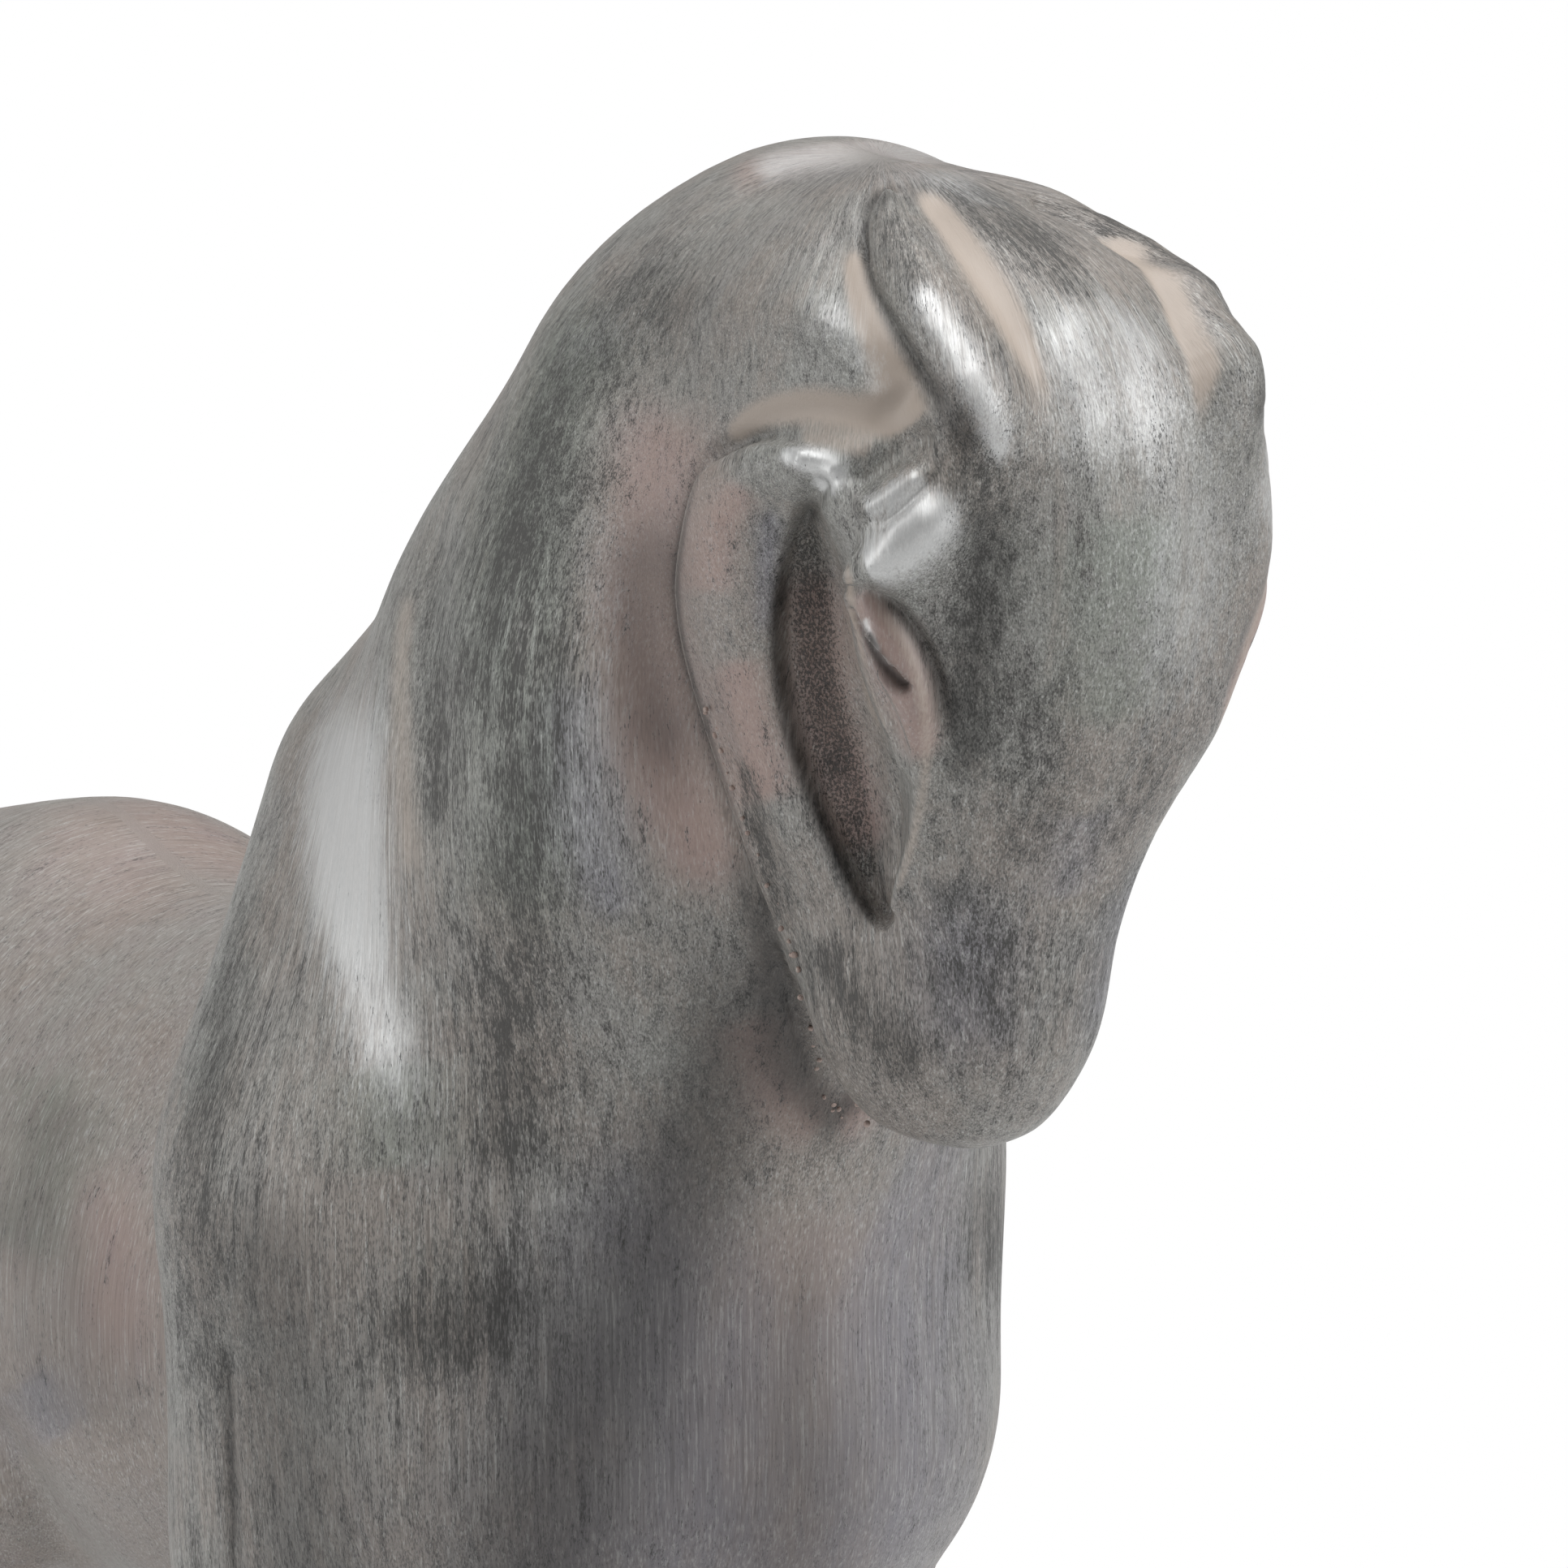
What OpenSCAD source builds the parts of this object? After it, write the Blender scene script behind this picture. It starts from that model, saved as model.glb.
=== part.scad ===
// Standing horse figure with a thick arched neck and its chin tucked in, cast in resin.
// The hollow body, the head, the four legs and the tail are separate castings, bonded on steel pins.
// Millimetres. The horse faces +X and +Z is up. The origin is on the ground, below the middle of its length.

/* [Figure] */
// Length of the trunk, from chest to buttock
trunk_l = 236; // [224:1:248]
// How far the forehead stands in front of the chest
head_lead = 70; // [66:1:74]
// How far the tail stands out behind the buttock
tail_stand = 15; // [13:0.5:18]
// Height of the flat joints where the legs meet the body
leg_h = 111; // [105:1:114]

/* [Trunk] */
// Height of the barrel, from belly to back
barrel_h = 93; // [87:1:99]
// Width of the barrel
barrel_w = 82; // [76:1:88]
// Width of the barrel just behind the shoulders
girth_w = 66; // [62:1:70]
// Width across the shoulders
shoulder_w = 92; // [86:1:98]
// Width across the haunches
haunch_w = 88; // [82:1:94]
// Height of the belly above the leg joints
belly_rise = 5; // [4:0.5:8]
// Wall of the hollow body
wall = 7; // [5:0.5:9]
// Thickness of the hanging tail, front to back
tail_t = 12; // [10:0.5:12.5]
// Width of the hanging tail
tail_w = 22; // [18:0.5:26]

/* [Neck] */
// Height of the crest above the back
crest_rise = 117.5; // [112:0.5:123]
// Depth of the neck, from crest to throat
neck_depth = 84; // [78:1:90]
// Width of the neck
neck_w = 78; // [72:1:84]
// Width of the neck behind the head
poll_w = 74; // [70:1:78]

/* [Head] */
// Length of the head, from muzzle to poll
head_l = 106; // [100:1:112]
// Depth of the head, from the neck joint to the forehead
head_d = 46; // [43:1:49]
// Width of the head across the cheeks
head_w = 55; // [51:1:59]
// Width of the muzzle
muzzle_w = 34; // [31:1:37]
// How far the jaw draws in towards the neck, on each side
jaw_in = 4; // [2:0.5:5]
// How far the poll lies below the crest
poll_drop = 3; // [1.5:0.5:5]
// How far the ears stand proud of the head
ear_rise = 4.5; // [3:0.5:6]
// How far the brows stand proud of the head
brow_rise = 2.5; // [1:0.5:4]
// How far the eyes stand proud of the head
eye_rise = 2; // [1:0.5:3]
// How far the cheeks stand proud of the head
cheek_rise = 1.5; // [0.5:0.5:3]
// How far the forelock stands proud of the forehead
forelock_rise = 1.5; // [0.5:0.5:3]
// Depth of the hollow between cheek and eye
hollow_deep = 4.5; // [3:0.5:6]

/* [Legs] */
// Distance between the left and right legs
leg_gap = 48; // [44:1:52]
// Thickness of the cannons
cannon_d = 19; // [17:0.5:22]
// Width of the hooves
hoof_d = 30; // [27:0.5:33]

/* [Pins and pads] */
// Diameter of the steel rod in each leg
rod_d = 6; // [4:0.5:7]
// Length of each leg rod
rod_l = 44; // [36:1:46]
// Depth of each leg rod in the body
rod_sunk = 16; // [12:1:18]
// Diameter of the pins of the head and the tail
pin_d = 6; // [4:0.5:7]
// Length of the head pins
head_pin_l = 36; // [28:1:40]
// Length of the tail pin
tail_pin_l = 20; // [16:1:22]
// Room for glue round every pin
glue = 0.1; // [0.05:0.05:0.2]
// Diameter of the belly plug
plug_d = 16; // [12:1:18]
// Width of the rim that stops the belly plug
plug_rim = 2; // [1.5:0.5:3]
// Thickness of the rim
rim_t = 2.5; // [2:0.5:3.5]
// Thickness of the felt pads
pad_t = 2; // [1:0.5:3]
// Diameter of the felt pads
pad_d = 20; // [16:1:22]

/* [Hidden] */
$fn = 40;
resin = "#8e8a86";
steel = "#b4b6ba";
rubber = "#3a3836";
felt = "#4a4744";
// Facets: half the points of a body ring, and the points of the rings of the head, the legs and the tail
body_half = 30;
head_points = 42;
leg_points = 18;
tail_points = 14;
// How far cutting tools run past the skin
cut_past = 20;

// Lengthwise landmarks
forehead_x = (trunk_l + head_lead + tail_stand) / 2;
chest_x = forehead_x - head_lead;
buttock_x = chest_x - trunk_l;
tail_x = buttock_x - tail_stand;
seat_x = forehead_x - head_d;
front_x = chest_x - 44;
hind_x = buttock_x + 46;
// Heights
belly_z = leg_h + belly_rise;
back_z = belly_z + barrel_h;
axis_z = belly_z + barrel_h / 2 + 3;
crest_z = back_z + crest_rise;
poll_z = crest_z - poll_drop;
muzzle_z = poll_z - head_l;
leg_y = leg_gap / 2;

// A lump of clay is two balls joined by a cone: [first centre, second centre, first radius, second radius, width].
// The width is its breadth as a share of its height. Lumps swell where they run together.
soft = 5;
limb_soft = 2;
swell = 3;
barrel_r = barrel_h / 2 - swell;
neck_r = neck_depth / 2 - swell;
neck_base = [chest_x - 39, 0, axis_z + 40];
neck_mid = [chest_x - 15, 0, back_z + 46];
neck_top = [chest_x + 2, 0, crest_z - 42];
crest_mid = [chest_x + 16, 0, crest_z - 29];
trunk = [
    [[buttock_x + 60, 0, axis_z - 3], [chest_x - 128, 0, axis_z - 2], barrel_r, barrel_r - 1, barrel_w / barrel_h],
    [[chest_x - 128, 0, axis_z - 2], [chest_x - 72, 0, axis_z], barrel_r - 1, barrel_r - 2, girth_w / barrel_h],
    [[buttock_x + 34, 0, axis_z + 9], [buttock_x + 56, 0, axis_z + 12], 34, 36, haunch_w / 90],
    [[chest_x - 38, 0, axis_z + 30], [chest_x - 31, 0, axis_z + 5], 37, 35, shoulder_w / 75],
    [[chest_x - 112, 0, back_z - 18], [chest_x - 61, 0, back_z + 15], 15, 24, 0.95],
    [neck_base, neck_mid, neck_r + 3, neck_r, neck_w / neck_depth],
    [neck_mid, neck_top, neck_r, neck_r - 6, poll_w / neck_depth],
    [neck_top, crest_mid, 27, 25, (head_w - 5) / 50],
];
front_ankle = [front_x + 1, leg_y, 29];
front_knee = [front_x + 1, leg_y, 74];
hind_ankle = [hind_x - 13, leg_y, 29];
hock = [hind_x - 14, leg_y, 80];
stifle = [hind_x + 24, leg_y + 2, belly_z + 16];
hip = [hind_x - 8, haunch_w / 2 - 24, axis_z + 6];
shoulder_top = [chest_x - 51, shoulder_w / 2 - 32, back_z + 29];
shoulder_mid = [chest_x - 52, shoulder_w / 2 - 22, axis_z + 30];
elbow = [front_x - 11, leg_y + 3, axis_z - 16];
cannon_r = cannon_d / 2 - 1;
limbs = [
    [shoulder_top, shoulder_mid, 22, 25, 1],
    [shoulder_mid, elbow, 25, 22, 1],
    [elbow + [12, -2, 4], front_knee, 18, cannon_r + 1, 1],
    [front_knee + [0, 0, 3], front_knee - [0, 0, 3], cannon_r + 1, cannon_r + 1, 0.95],
    [front_knee, front_ankle, cannon_r, cannon_r - 1, 0.95],
    [front_ankle, front_ankle + [6, 0, -12], cannon_r + 0.5, cannon_r - 0.5, 1],
    [front_ankle + [4, 0, -15], front_ankle + [6, 0, -29], hoof_d / 2 - 5, hoof_d / 2 - 0.5, 1],
    [hip, stifle, 25, 18, 1],
    [hip, stifle - [22, 2, 6], 23, 17, 1],
    [stifle - [12, 2, 8], hock, 18, cannon_r + 1, 1],
    [hock + [-3, 0, 4], hock - [0, 0, 6], cannon_r + 0.5, cannon_r + 0.5, 0.9],
    [hock, hind_ankle, cannon_r + 0.5, cannon_r - 0.5, 0.95],
    [hind_ankle, hind_ankle + [6, 0, -12], cannon_r + 0.5, cannon_r - 0.5, 1],
    [hind_ankle + [4, 0, -15], hind_ankle + [6, 0, -29], hoof_d / 2 - 5, hoof_d / 2 - 0.5, 1],
];

function mix(a, b, t) = a + (b - a) * t;

// Distance from a point to the skin of one lump
function lump_gap(p, m) =
    let (
        q = [p.x - m[0].x, (p.y - m[0].y) / m[4], p.z - m[0].z],
        v = [m[1].x - m[0].x, (m[1].y - m[0].y) / m[4], m[1].z - m[0].z],
        t = min(1, max(0, q * v / max(v * v, 0.001)))
    )
    norm(q - t * v) - mix(m[2], m[3], t);

// Distances blended into one, so that what they belong to runs together
function blend(gaps, k) = -k * ln([for (g = gaps) exp(-g / k)] * [for (g = gaps) 1]);

// Distance from a point on the left half to the skin of the trunk, and to the skin of the trunk with its limbs
function trunk_gap(p) = blend([for (m = trunk) lump_gap(p, m)], soft);
function skin_gap(p) = blend([trunk_gap(p), blend([for (m = limbs) lump_gap(p, m)], limb_soft)], soft);

// How far a ray runs from o along d before it leaves the figure, or the trunk less its wall
function reach(o, d, far, hollow, near = 0, turns = 12) =
    let (
        middle = (near + far) / 2,
        p = o + middle * d,
        inside = (hollow ? trunk_gap(p) + wall : skin_gap(p)) < 0
    )
    turns == 0 ? middle : reach(o, d, inside ? far : middle, hollow, inside ? middle : near, turns - 1);

// Triangles of a skin through rings of m points, with a point that closes each end
function loft_faces(rings, m) = concat(
    [for (j = [0:m - 1]) [0, 1 + (j + 1) % m, 1 + j]],
    [
        for (i = [0:rings - 2], j = [0:m - 1], half = [0, 1])
            let (a = 1 + i * m + j, b = 1 + i * m + (j + 1) % m)
            half == 0 ? [a, b, b + m] : [a, b + m, a + m]
    ],
    [for (j = [0:m - 1]) [1 + rings * m, 1 + (rings - 1) * m + j, 1 + (rings - 1) * m + (j + 1) % m]]
);

module loft(first, rings, last) {
    points = concat([first], [for (r = rings) each r], [last]);
    polyhedron(points, loft_faces(len(rings), len(rings[0])), convexity = 8);
}

// The body's spine runs level along the trunk, turns up about a point above the withers, and climbs the neck
spine_turn = 70;
pivot = [chest_x - 100, 0, back_z + 56];
spine_r = pivot.z - axis_z;
neck_dir = [cos(spine_turn), 0, sin(spine_turn)];
neck_foot = pivot + spine_r * [sin(spine_turn), 0, -cos(spine_turn)];
spine_end = buttock_x + 40;
// A place on the spine: [point, direction towards the back or the crest]
function spine_level(x) = [[x, 0, pivot.z - spine_r], [0, 0, 1]];
function spine_bend(a) = [pivot + spine_r * [sin(a), 0, -cos(a)], [-sin(a), 0, cos(a)]];
function spine_neck(s) = [neck_foot + s * neck_dir, [-neck_dir.z, 0, neck_dir.x]];

// One ring round the spine, found by rays. Rays that run down into a leg stop just below its joint.
// Rays bunch towards the legs by the angle given as gather.
function body_ring(place, half, hollow, floor_z, gather) =
    let (
        o = place[0],
        side = [
            for (j = [0:half])
                let (
                    a = 180 * j / half + gather * (sin(360 * j / half - 120) + sin(120)),
                    d = cos(a) * place[1] + sin(a) * [0, 1, 0],
                    drop = d.z < -0.01 ? (o.z - floor_z) / -d.z : 90
                )
                o + reach(o, d, min(88, spine_r - 1, drop), hollow) * d
        ]
    )
    concat(side, [for (j = [half - 1:-1:1]) [side[j].x, -side[j].y, side[j].z]]);

// Skin of the body: bunched rings at the buttock, even rings round the bend, bunched rings at the crest
module body_skin() {
    floor_z = leg_h - 6;
    tail_end = spine_level(spine_end)[0] + reach(spine_level(spine_end)[0], [-1, 0, 0], 60, false) * [-1, 0, 0];
    neck_run = reach(neck_foot, neck_dir, 140, false);
    level_n = 17;
    bend_n = 20;
    neck_n = 17;
    gather = 15;
    rings = concat(
        [
            for (i = [1:level_n])
                let (place = spine_level(mix(pivot.x, tail_end.x, cos(90 * i / level_n))))
                body_ring(place, body_half, false, floor_z, gather)
        ],
        [
            for (i = [1:bend_n])
                let (place = spine_bend(spine_turn * i / bend_n))
                body_ring(place, body_half, false, floor_z, gather * (1 - pow(i / bend_n, 2)))
        ],
        [
            for (i = [1:neck_n - 1])
                let (place = spine_neck(neck_run * sin(90 * i / neck_n)))
                body_ring(place, body_half, false, floor_z, 0)
        ]
    );
    loft(tail_end, rings, neck_foot + neck_run * neck_dir);
}

// The hollow inside follows the trunk and ends in the root of the neck
module body_hollow() {
    half = 9;
    tail_end = spine_level(spine_end)[0] + reach(spine_level(spine_end)[0], [-1, 0, 0], 60, true) * [-1, 0, 0];
    level_n = 10;
    bend_n = 10;
    bend_end = spine_turn - 8;
    places = concat(
        [for (i = [1:level_n]) spine_level(mix(pivot.x, tail_end.x, cos(90 * i / level_n)))],
        [for (i = [1:bend_n]) spine_bend(bend_end * i / bend_n)]
    );
    loft(tail_end, [for (p = places) body_ring(p, half, true, 0, 0)], spine_bend(bend_end + 5)[0]);
}

// Point on a smooth curve through a list of points, u running from 0 to 1
function curve(list, u) =
    let (
        last = len(list) - 1,
        i = min(last - 1, floor(u * last)),
        t = u * last - i,
        a = list[max(0, i - 1)],
        b = list[i],
        c = list[i + 1],
        d = list[min(last, i + 2)]
    )
    b + t * ((c - a) / 2 + t * (a - 2.5 * b + 2 * c - d / 2 + t * (3 * b - 3 * c + d - a) / 2));

// Sections of the head from the muzzle up: [height, half width, depth, squareness, place of its back]
half_head = head_w / 2;
half_muzzle = muzzle_w / 2;
head_sections = [
    [muzzle_z, 1, 2, 2.2, seat_x + 16],
    [muzzle_z + 2, 0.6 * half_muzzle, 17, 2.2, seat_x + 7],
    [muzzle_z + 12, half_muzzle, head_d - 16, 2.2, seat_x + 1],
    [muzzle_z + 25, half_muzzle + 2, head_d - 12, 2.3, seat_x],
    [muzzle_z + 40, half_head - 5, head_d - 7, 2.6, seat_x],
    [muzzle_z + 55, half_head - 1.5, head_d - 2, 2.9, seat_x],
    [muzzle_z + 68, half_head, head_d, 3, seat_x],
    [poll_z - 27, half_head, head_d - 1, 3.1, seat_x],
    [poll_z - 18, half_head - 1.5, head_d - 3.5, 3, seat_x],
    [poll_z - 11, half_head - 4.5, head_d - 9, 2.8, seat_x],
    [poll_z - 6, half_head - 9, head_d - 19, 2.6, seat_x],
    [poll_z - 1.5, half_head - 17, head_d - 34, 2.3, seat_x],
    [poll_z, 1, 5, 2, seat_x],
];
// Features of the left side of the head: [line of points, breadth, rise].
// Where a line dips below or lifts off the skin, its feature fades out.
ear = [
    [
        [forehead_x - 32, 10, poll_z - 2.5], [forehead_x - 15, 15, poll_z - 9], [forehead_x - 7.5, 16, poll_z - 12.5],
        [forehead_x - 4, 15, poll_z - 17], [forehead_x - 8, 12, poll_z - 29],
    ],
    5, ear_rise,
];
brow = [[[forehead_x - 14, half_head - 4, poll_z - 32], [forehead_x - 9, half_head - 8, poll_z - 35]], 5, brow_rise];
eye = [[[forehead_x - 11, half_head - 6, poll_z - 46], [forehead_x - 13, half_head - 12, poll_z - 56]], 4, eye_rise];
hollow = [
    [
        [forehead_x - 21, half_head, poll_z - 38], [forehead_x - 20, half_head - 3, poll_z - 48],
        [forehead_x - 20, half_head - 6, poll_z - 58], [forehead_x - 21, half_head - 8, poll_z - 67],
        [forehead_x - 22, half_head - 6, poll_z - 80],
    ],
    5.5, -hollow_deep,
];
cheek = [
    [
        [forehead_x - 24, half_head - 4, poll_z - 28], [forehead_x - 34, half_head, poll_z - 36],
        [forehead_x - 36, half_head, poll_z - 50], [forehead_x - 35, half_head - 9, poll_z - 68],
    ],
    5, cheek_rise,
];
forelock = [
    [[forehead_x - 20, 0, poll_z - 10], [forehead_x - 2, 3, poll_z - 22], [forehead_x - 4, 3, poll_z - 60]],
    6, forelock_rise,
];
head_features = [ear, brow, eye, hollow, cheek, forelock];

function line_gap(p, a, b) =
    let (t = min(1, max(0, (p - a) * (b - a) / ((b - a) * (b - a)))))
    norm(p - mix(a, b, t));
function path_gap(p, path) = min([for (i = [0:len(path) - 2]) line_gap(p, path[i], path[i + 1])]);
function bump(gap, size) = exp(-(gap / size) * (gap / size));

// How far a point of the head's left side is raised
function head_rise(p) = [for (f = head_features) f[2] * bump(path_gap(p, f[0]), f[1])] * [for (f = head_features) 1];

// How far the back of the jaw is drawn in at a height
function jaw_draw(z) = jaw_in * bump(z - muzzle_z - 26, 26);

head_rows = 42;
function head_ring(u) =
    let (s = curve(head_sections, u))
    [
        for (k = [0:head_points])
            let (
                a = 90 - 180 * k / head_points,
                x = pow(abs(cos(a)), 2 / s[3]),
                y = pow(abs(sin(a)), 2 / s[3]) * sign(a),
                half = max(s[1] / 2, s[1] - jaw_draw(s[0]) * pow(1 - x, 2)),
                p = [s[4] + s[2] * x, half * y, s[0]],
                out = [x, y * 1.4] / norm([x, y * 1.4]),
                edge = min(1, 6 * x),
                rise = edge * head_rise([p.x, abs(p.y), p.z])
            )
            p + rise * [out.x, out.y, 0]
    ];

module head_skin() {
    first = head_sections[0];
    last = head_sections[len(head_sections) - 1];
    loft(
        [first[4] + 1, 0, first[0]],
        [for (i = [0:head_rows]) head_ring(i / head_rows)],
        [last[4] + 4, 0, last[0]]
    );
}

// The axis of a leg, as points from the ground up
front_axis = [
    front_ankle + [5, 0, pad_t - 29], front_ankle + [4, 0, -15], front_ankle, front_knee, [front_x + 1, leg_y, leg_h],
];
hind_axis = [
    hind_ankle + [5, 0, pad_t - 29], hind_ankle + [4, 0, -15], hind_ankle, hock, [hind_x, leg_y, leg_h],
];
leg_rows = 19;

// Point where a leg's axis stands at a height
function axis_at(axis, z) =
    let (
        i = max([for (k = [0:len(axis) - 2]) if (axis[k].z <= z + 0.001) k]),
        t = (z - axis[i].z) / (axis[i + 1].z - axis[i].z)
    )
    mix(axis[i], axis[i + 1], t);

// A leg on the left, from the ground pad up to its joint with the body
module leg_skin(axis) {
    rings = [
        for (i = [0:leg_rows])
            let (o = axis_at(axis, mix(pad_t, leg_h, i / leg_rows)))
            [
                for (j = [0:leg_points - 1])
                    let (a = 360 * j / leg_points, d = [cos(a), -sin(a), 0])
                    o + reach(o, d, 34, false) * d
            ]
    ];
    loft(axis[0], rings, axis[len(axis) - 1]);
}

// Root of a leg in the body, by the same rays as the leg, so that the two meet at the joint
module leg_root(axis) {
    joint = axis[len(axis) - 1];
    below = axis[len(axis) - 2];
    lean = (joint - below) / (joint.z - below.z);
    heights = [-2, 4, 10, 17, 24];
    rings = [
        for (h = heights)
            let (o = joint + h * lean)
            [
                for (j = [0:leg_points - 1])
                    let (a = 360 * j / leg_points, d = [cos(a), -sin(a), 0])
                    o + reach(o, d, 34, false) * d
            ]
    ];
    loft(joint + heights[0] * lean, rings, joint + heights[len(heights) - 1] * lean);
}

// The tail hangs from a flat on the rump
tail_slope = 32;
tail_dir = [-cos(tail_slope), 0, sin(tail_slope)];
tail_inner = [spine_end, 0, axis_z + 12];
tail_sunk = 2;
tail_root = tail_inner + (reach(tail_inner, tail_dir, 70, false) - tail_sunk) * tail_dir;
tail_mid_x = tail_x + tail_t / 2;
tail_path = [
    tail_root, tail_root + 7 * tail_dir, [tail_mid_x, 0, tail_root.z - 10], [tail_mid_x, 0, axis_z - 10],
    [tail_mid_x + 1, 0, axis_z - 45], [tail_mid_x + 3, 0, leg_h - 30], [tail_mid_x + 4, 0, leg_h - 44],
];
// Half thickness and half width of the tail at those points
tail_root_r = 8;
tail_sizes = [
    [tail_root_r, tail_root_r], [tail_root_r, tail_root_r + 1], [tail_t / 2, tail_w / 2 - 1], [tail_t / 2, tail_w / 2],
    [tail_t / 2, tail_w / 2 - 1], [tail_t / 3, tail_w / 3], [1.5, 2],
];

module tail_skin() {
    rows = 18;
    rings = [
        for (i = [0:rows])
            let (
                u = i / rows,
                o = curve(tail_path, u),
                d = i == 0 ? tail_dir : curve(tail_path, min(1, u + 0.01)) - curve(tail_path, max(0, u - 0.01)),
                up = [-d.z, 0, d.x] / norm(d),
                size = curve(tail_sizes, u)
            )
            [
                for (j = [0:tail_points - 1])
                    let (a = 360 * j / tail_points)
                    o + size[0] * cos(a) * up + size[1] * sin(a) * [0, 1, 0]
            ]
    ];
    loft(tail_root, rings, tail_path[len(tail_path) - 1]);
}

// Places of the rods, the pins, the plug and the pads
end_gap = 0.5;
hind_lean = atan2(hind_x - hock.x, leg_h - hock.z);
head_pin_z = [muzzle_z + 42, poll_z - 30];
plug_x = chest_x - 120;
plug_foot = spine_level(plug_x)[0];
plug_z = plug_foot.z - reach(plug_foot, [0, 0, -1], 80, false);
hoof_ahead = 5;

// A leg rod on the left, in front or behind, with room round it and at its ends when it cuts its bore
module front_rod(room = 0, ends = 0) {
    translate([front_knee.x, leg_y, leg_h + rod_sunk - rod_l - ends])
        cylinder(d = rod_d + 2 * room, h = rod_l + 2 * ends);
}

module hind_rod(room = 0, ends = 0) {
    translate([hind_x, leg_y, leg_h])
        rotate([0, hind_lean, 0])
            translate([0, 0, rod_sunk - rod_l - ends])
                cylinder(d = rod_d + 2 * room, h = rod_l + 2 * ends);
}

module both_sides() {
    children();
    mirror([0, 1, 0]) children();
}

module head_pins_at(room = 0, ends = 0) {
    for (z = head_pin_z)
        translate([seat_x - head_pin_l / 2 - ends, 0, z])
            rotate([0, 90, 0])
                cylinder(d = pin_d + 2 * room, h = head_pin_l + 2 * ends);
}

// Sets its children on the flat for the tail, with +Z along the root of the tail
module on_rump() {
    translate(tail_root) rotate([0, tail_slope - 90, 0]) children();
}

module tail_pin_at(room = 0, ends = 0) {
    on_rump()
        translate([0, 0, -tail_pin_l / 2 - ends])
            cylinder(d = pin_d + 2 * room, h = tail_pin_l + 2 * ends);
}

module body_shell() {
    color(resin)
        difference() {
            union() {
                body_skin();
                both_sides() {
                    leg_root(front_axis);
                    leg_root(hind_axis);
                }
            }
            body_hollow();
            // Flat seats for the head, the legs and the tail
            translate([seat_x, -neck_w, muzzle_z]) cube([head_d, 2 * neck_w, head_l + cut_past]);
            translate([tail_x, -shoulder_w, leg_h - cut_past]) cube([trunk_l, 2 * shoulder_w, cut_past]);
            on_rump() cylinder(r = tail_root_r + end_gap, h = cut_past);
            // Bores for the rods and the pins
            both_sides() {
                front_rod(glue, end_gap);
                hind_rod(glue, end_gap);
            }
            head_pins_at(glue, end_gap);
            tail_pin_at(glue, end_gap);
            // Pouring hole in the belly, with a seat for the rim of its plug
            translate([plug_x, 0, plug_z - 5]) cylinder(d = plug_d + 2 * glue, h = 5 + wall + 6);
            translate([plug_x, 0, plug_z - 5]) cylinder(d = plug_d + 2 * (plug_rim + glue), h = 5 + rim_t);
        }
}

module head() {
    color(resin)
        difference() {
            head_skin();
            head_pins_at(glue, end_gap);
        }
}

module tail() {
    color(resin)
        difference() {
            tail_skin();
            tail_pin_at(glue, end_gap);
        }
}

module front_leg() {
    color(resin)
        difference() {
            leg_skin(front_axis);
            front_rod(glue, end_gap);
        }
}

module hind_leg() {
    color(resin)
        difference() {
            leg_skin(hind_axis);
            hind_rod(glue, end_gap);
        }
}

module front_left_leg() {
    front_leg();
}

module front_right_leg() {
    mirror([0, 1, 0]) front_leg();
}

module hind_left_leg() {
    hind_leg();
}

module hind_right_leg() {
    mirror([0, 1, 0]) hind_leg();
}

module leg_rods() {
    color(steel)
        both_sides() {
            front_rod();
            hind_rod();
        }
}

module head_pins() {
    color(steel) head_pins_at();
}

module tail_pin() {
    color(steel) tail_pin_at();
}

// Rubber plug: its rim sits in the belly and its stem fills the pouring hole
module belly_plug() {
    color(rubber)
        translate([plug_x, 0, plug_z]) {
            cylinder(d = plug_d + 2 * plug_rim, h = rim_t);
            cylinder(d = plug_d, h = wall + 1);
        }
}

// Felt pad glued under a hoof
module pad(ankle, side) {
    color(felt) translate([ankle.x + hoof_ahead, side * leg_y, 0]) cylinder(d = pad_d, h = pad_t);
}

module front_left_pad() {
    pad(front_ankle, 1);
}

module front_right_pad() {
    pad(front_ankle, -1);
}

module hind_left_pad() {
    pad(hind_ankle, 1);
}

module hind_right_pad() {
    pad(hind_ankle, -1);
}

body_shell();
head();
tail();
front_left_leg();
front_right_leg();
hind_left_leg();
hind_right_leg();
leg_rods();
head_pins();
tail_pin();
belly_plug();
front_left_pad();
front_right_pad();
hind_left_pad();
hind_right_pad();
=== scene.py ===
"""Looks of a standing resin horse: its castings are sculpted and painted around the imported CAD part.

Lengths are in metres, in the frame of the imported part, unless a name says mm. Places on the photograph are
pixels of its 1932 x 1932 frame.
"""

from __future__ import annotations

import logging
import math
from dataclasses import dataclass, field
from enum import Enum
from typing import Callable, Iterable, Sequence

import bmesh
import bpy
import numpy as np
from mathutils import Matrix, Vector, noise

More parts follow.
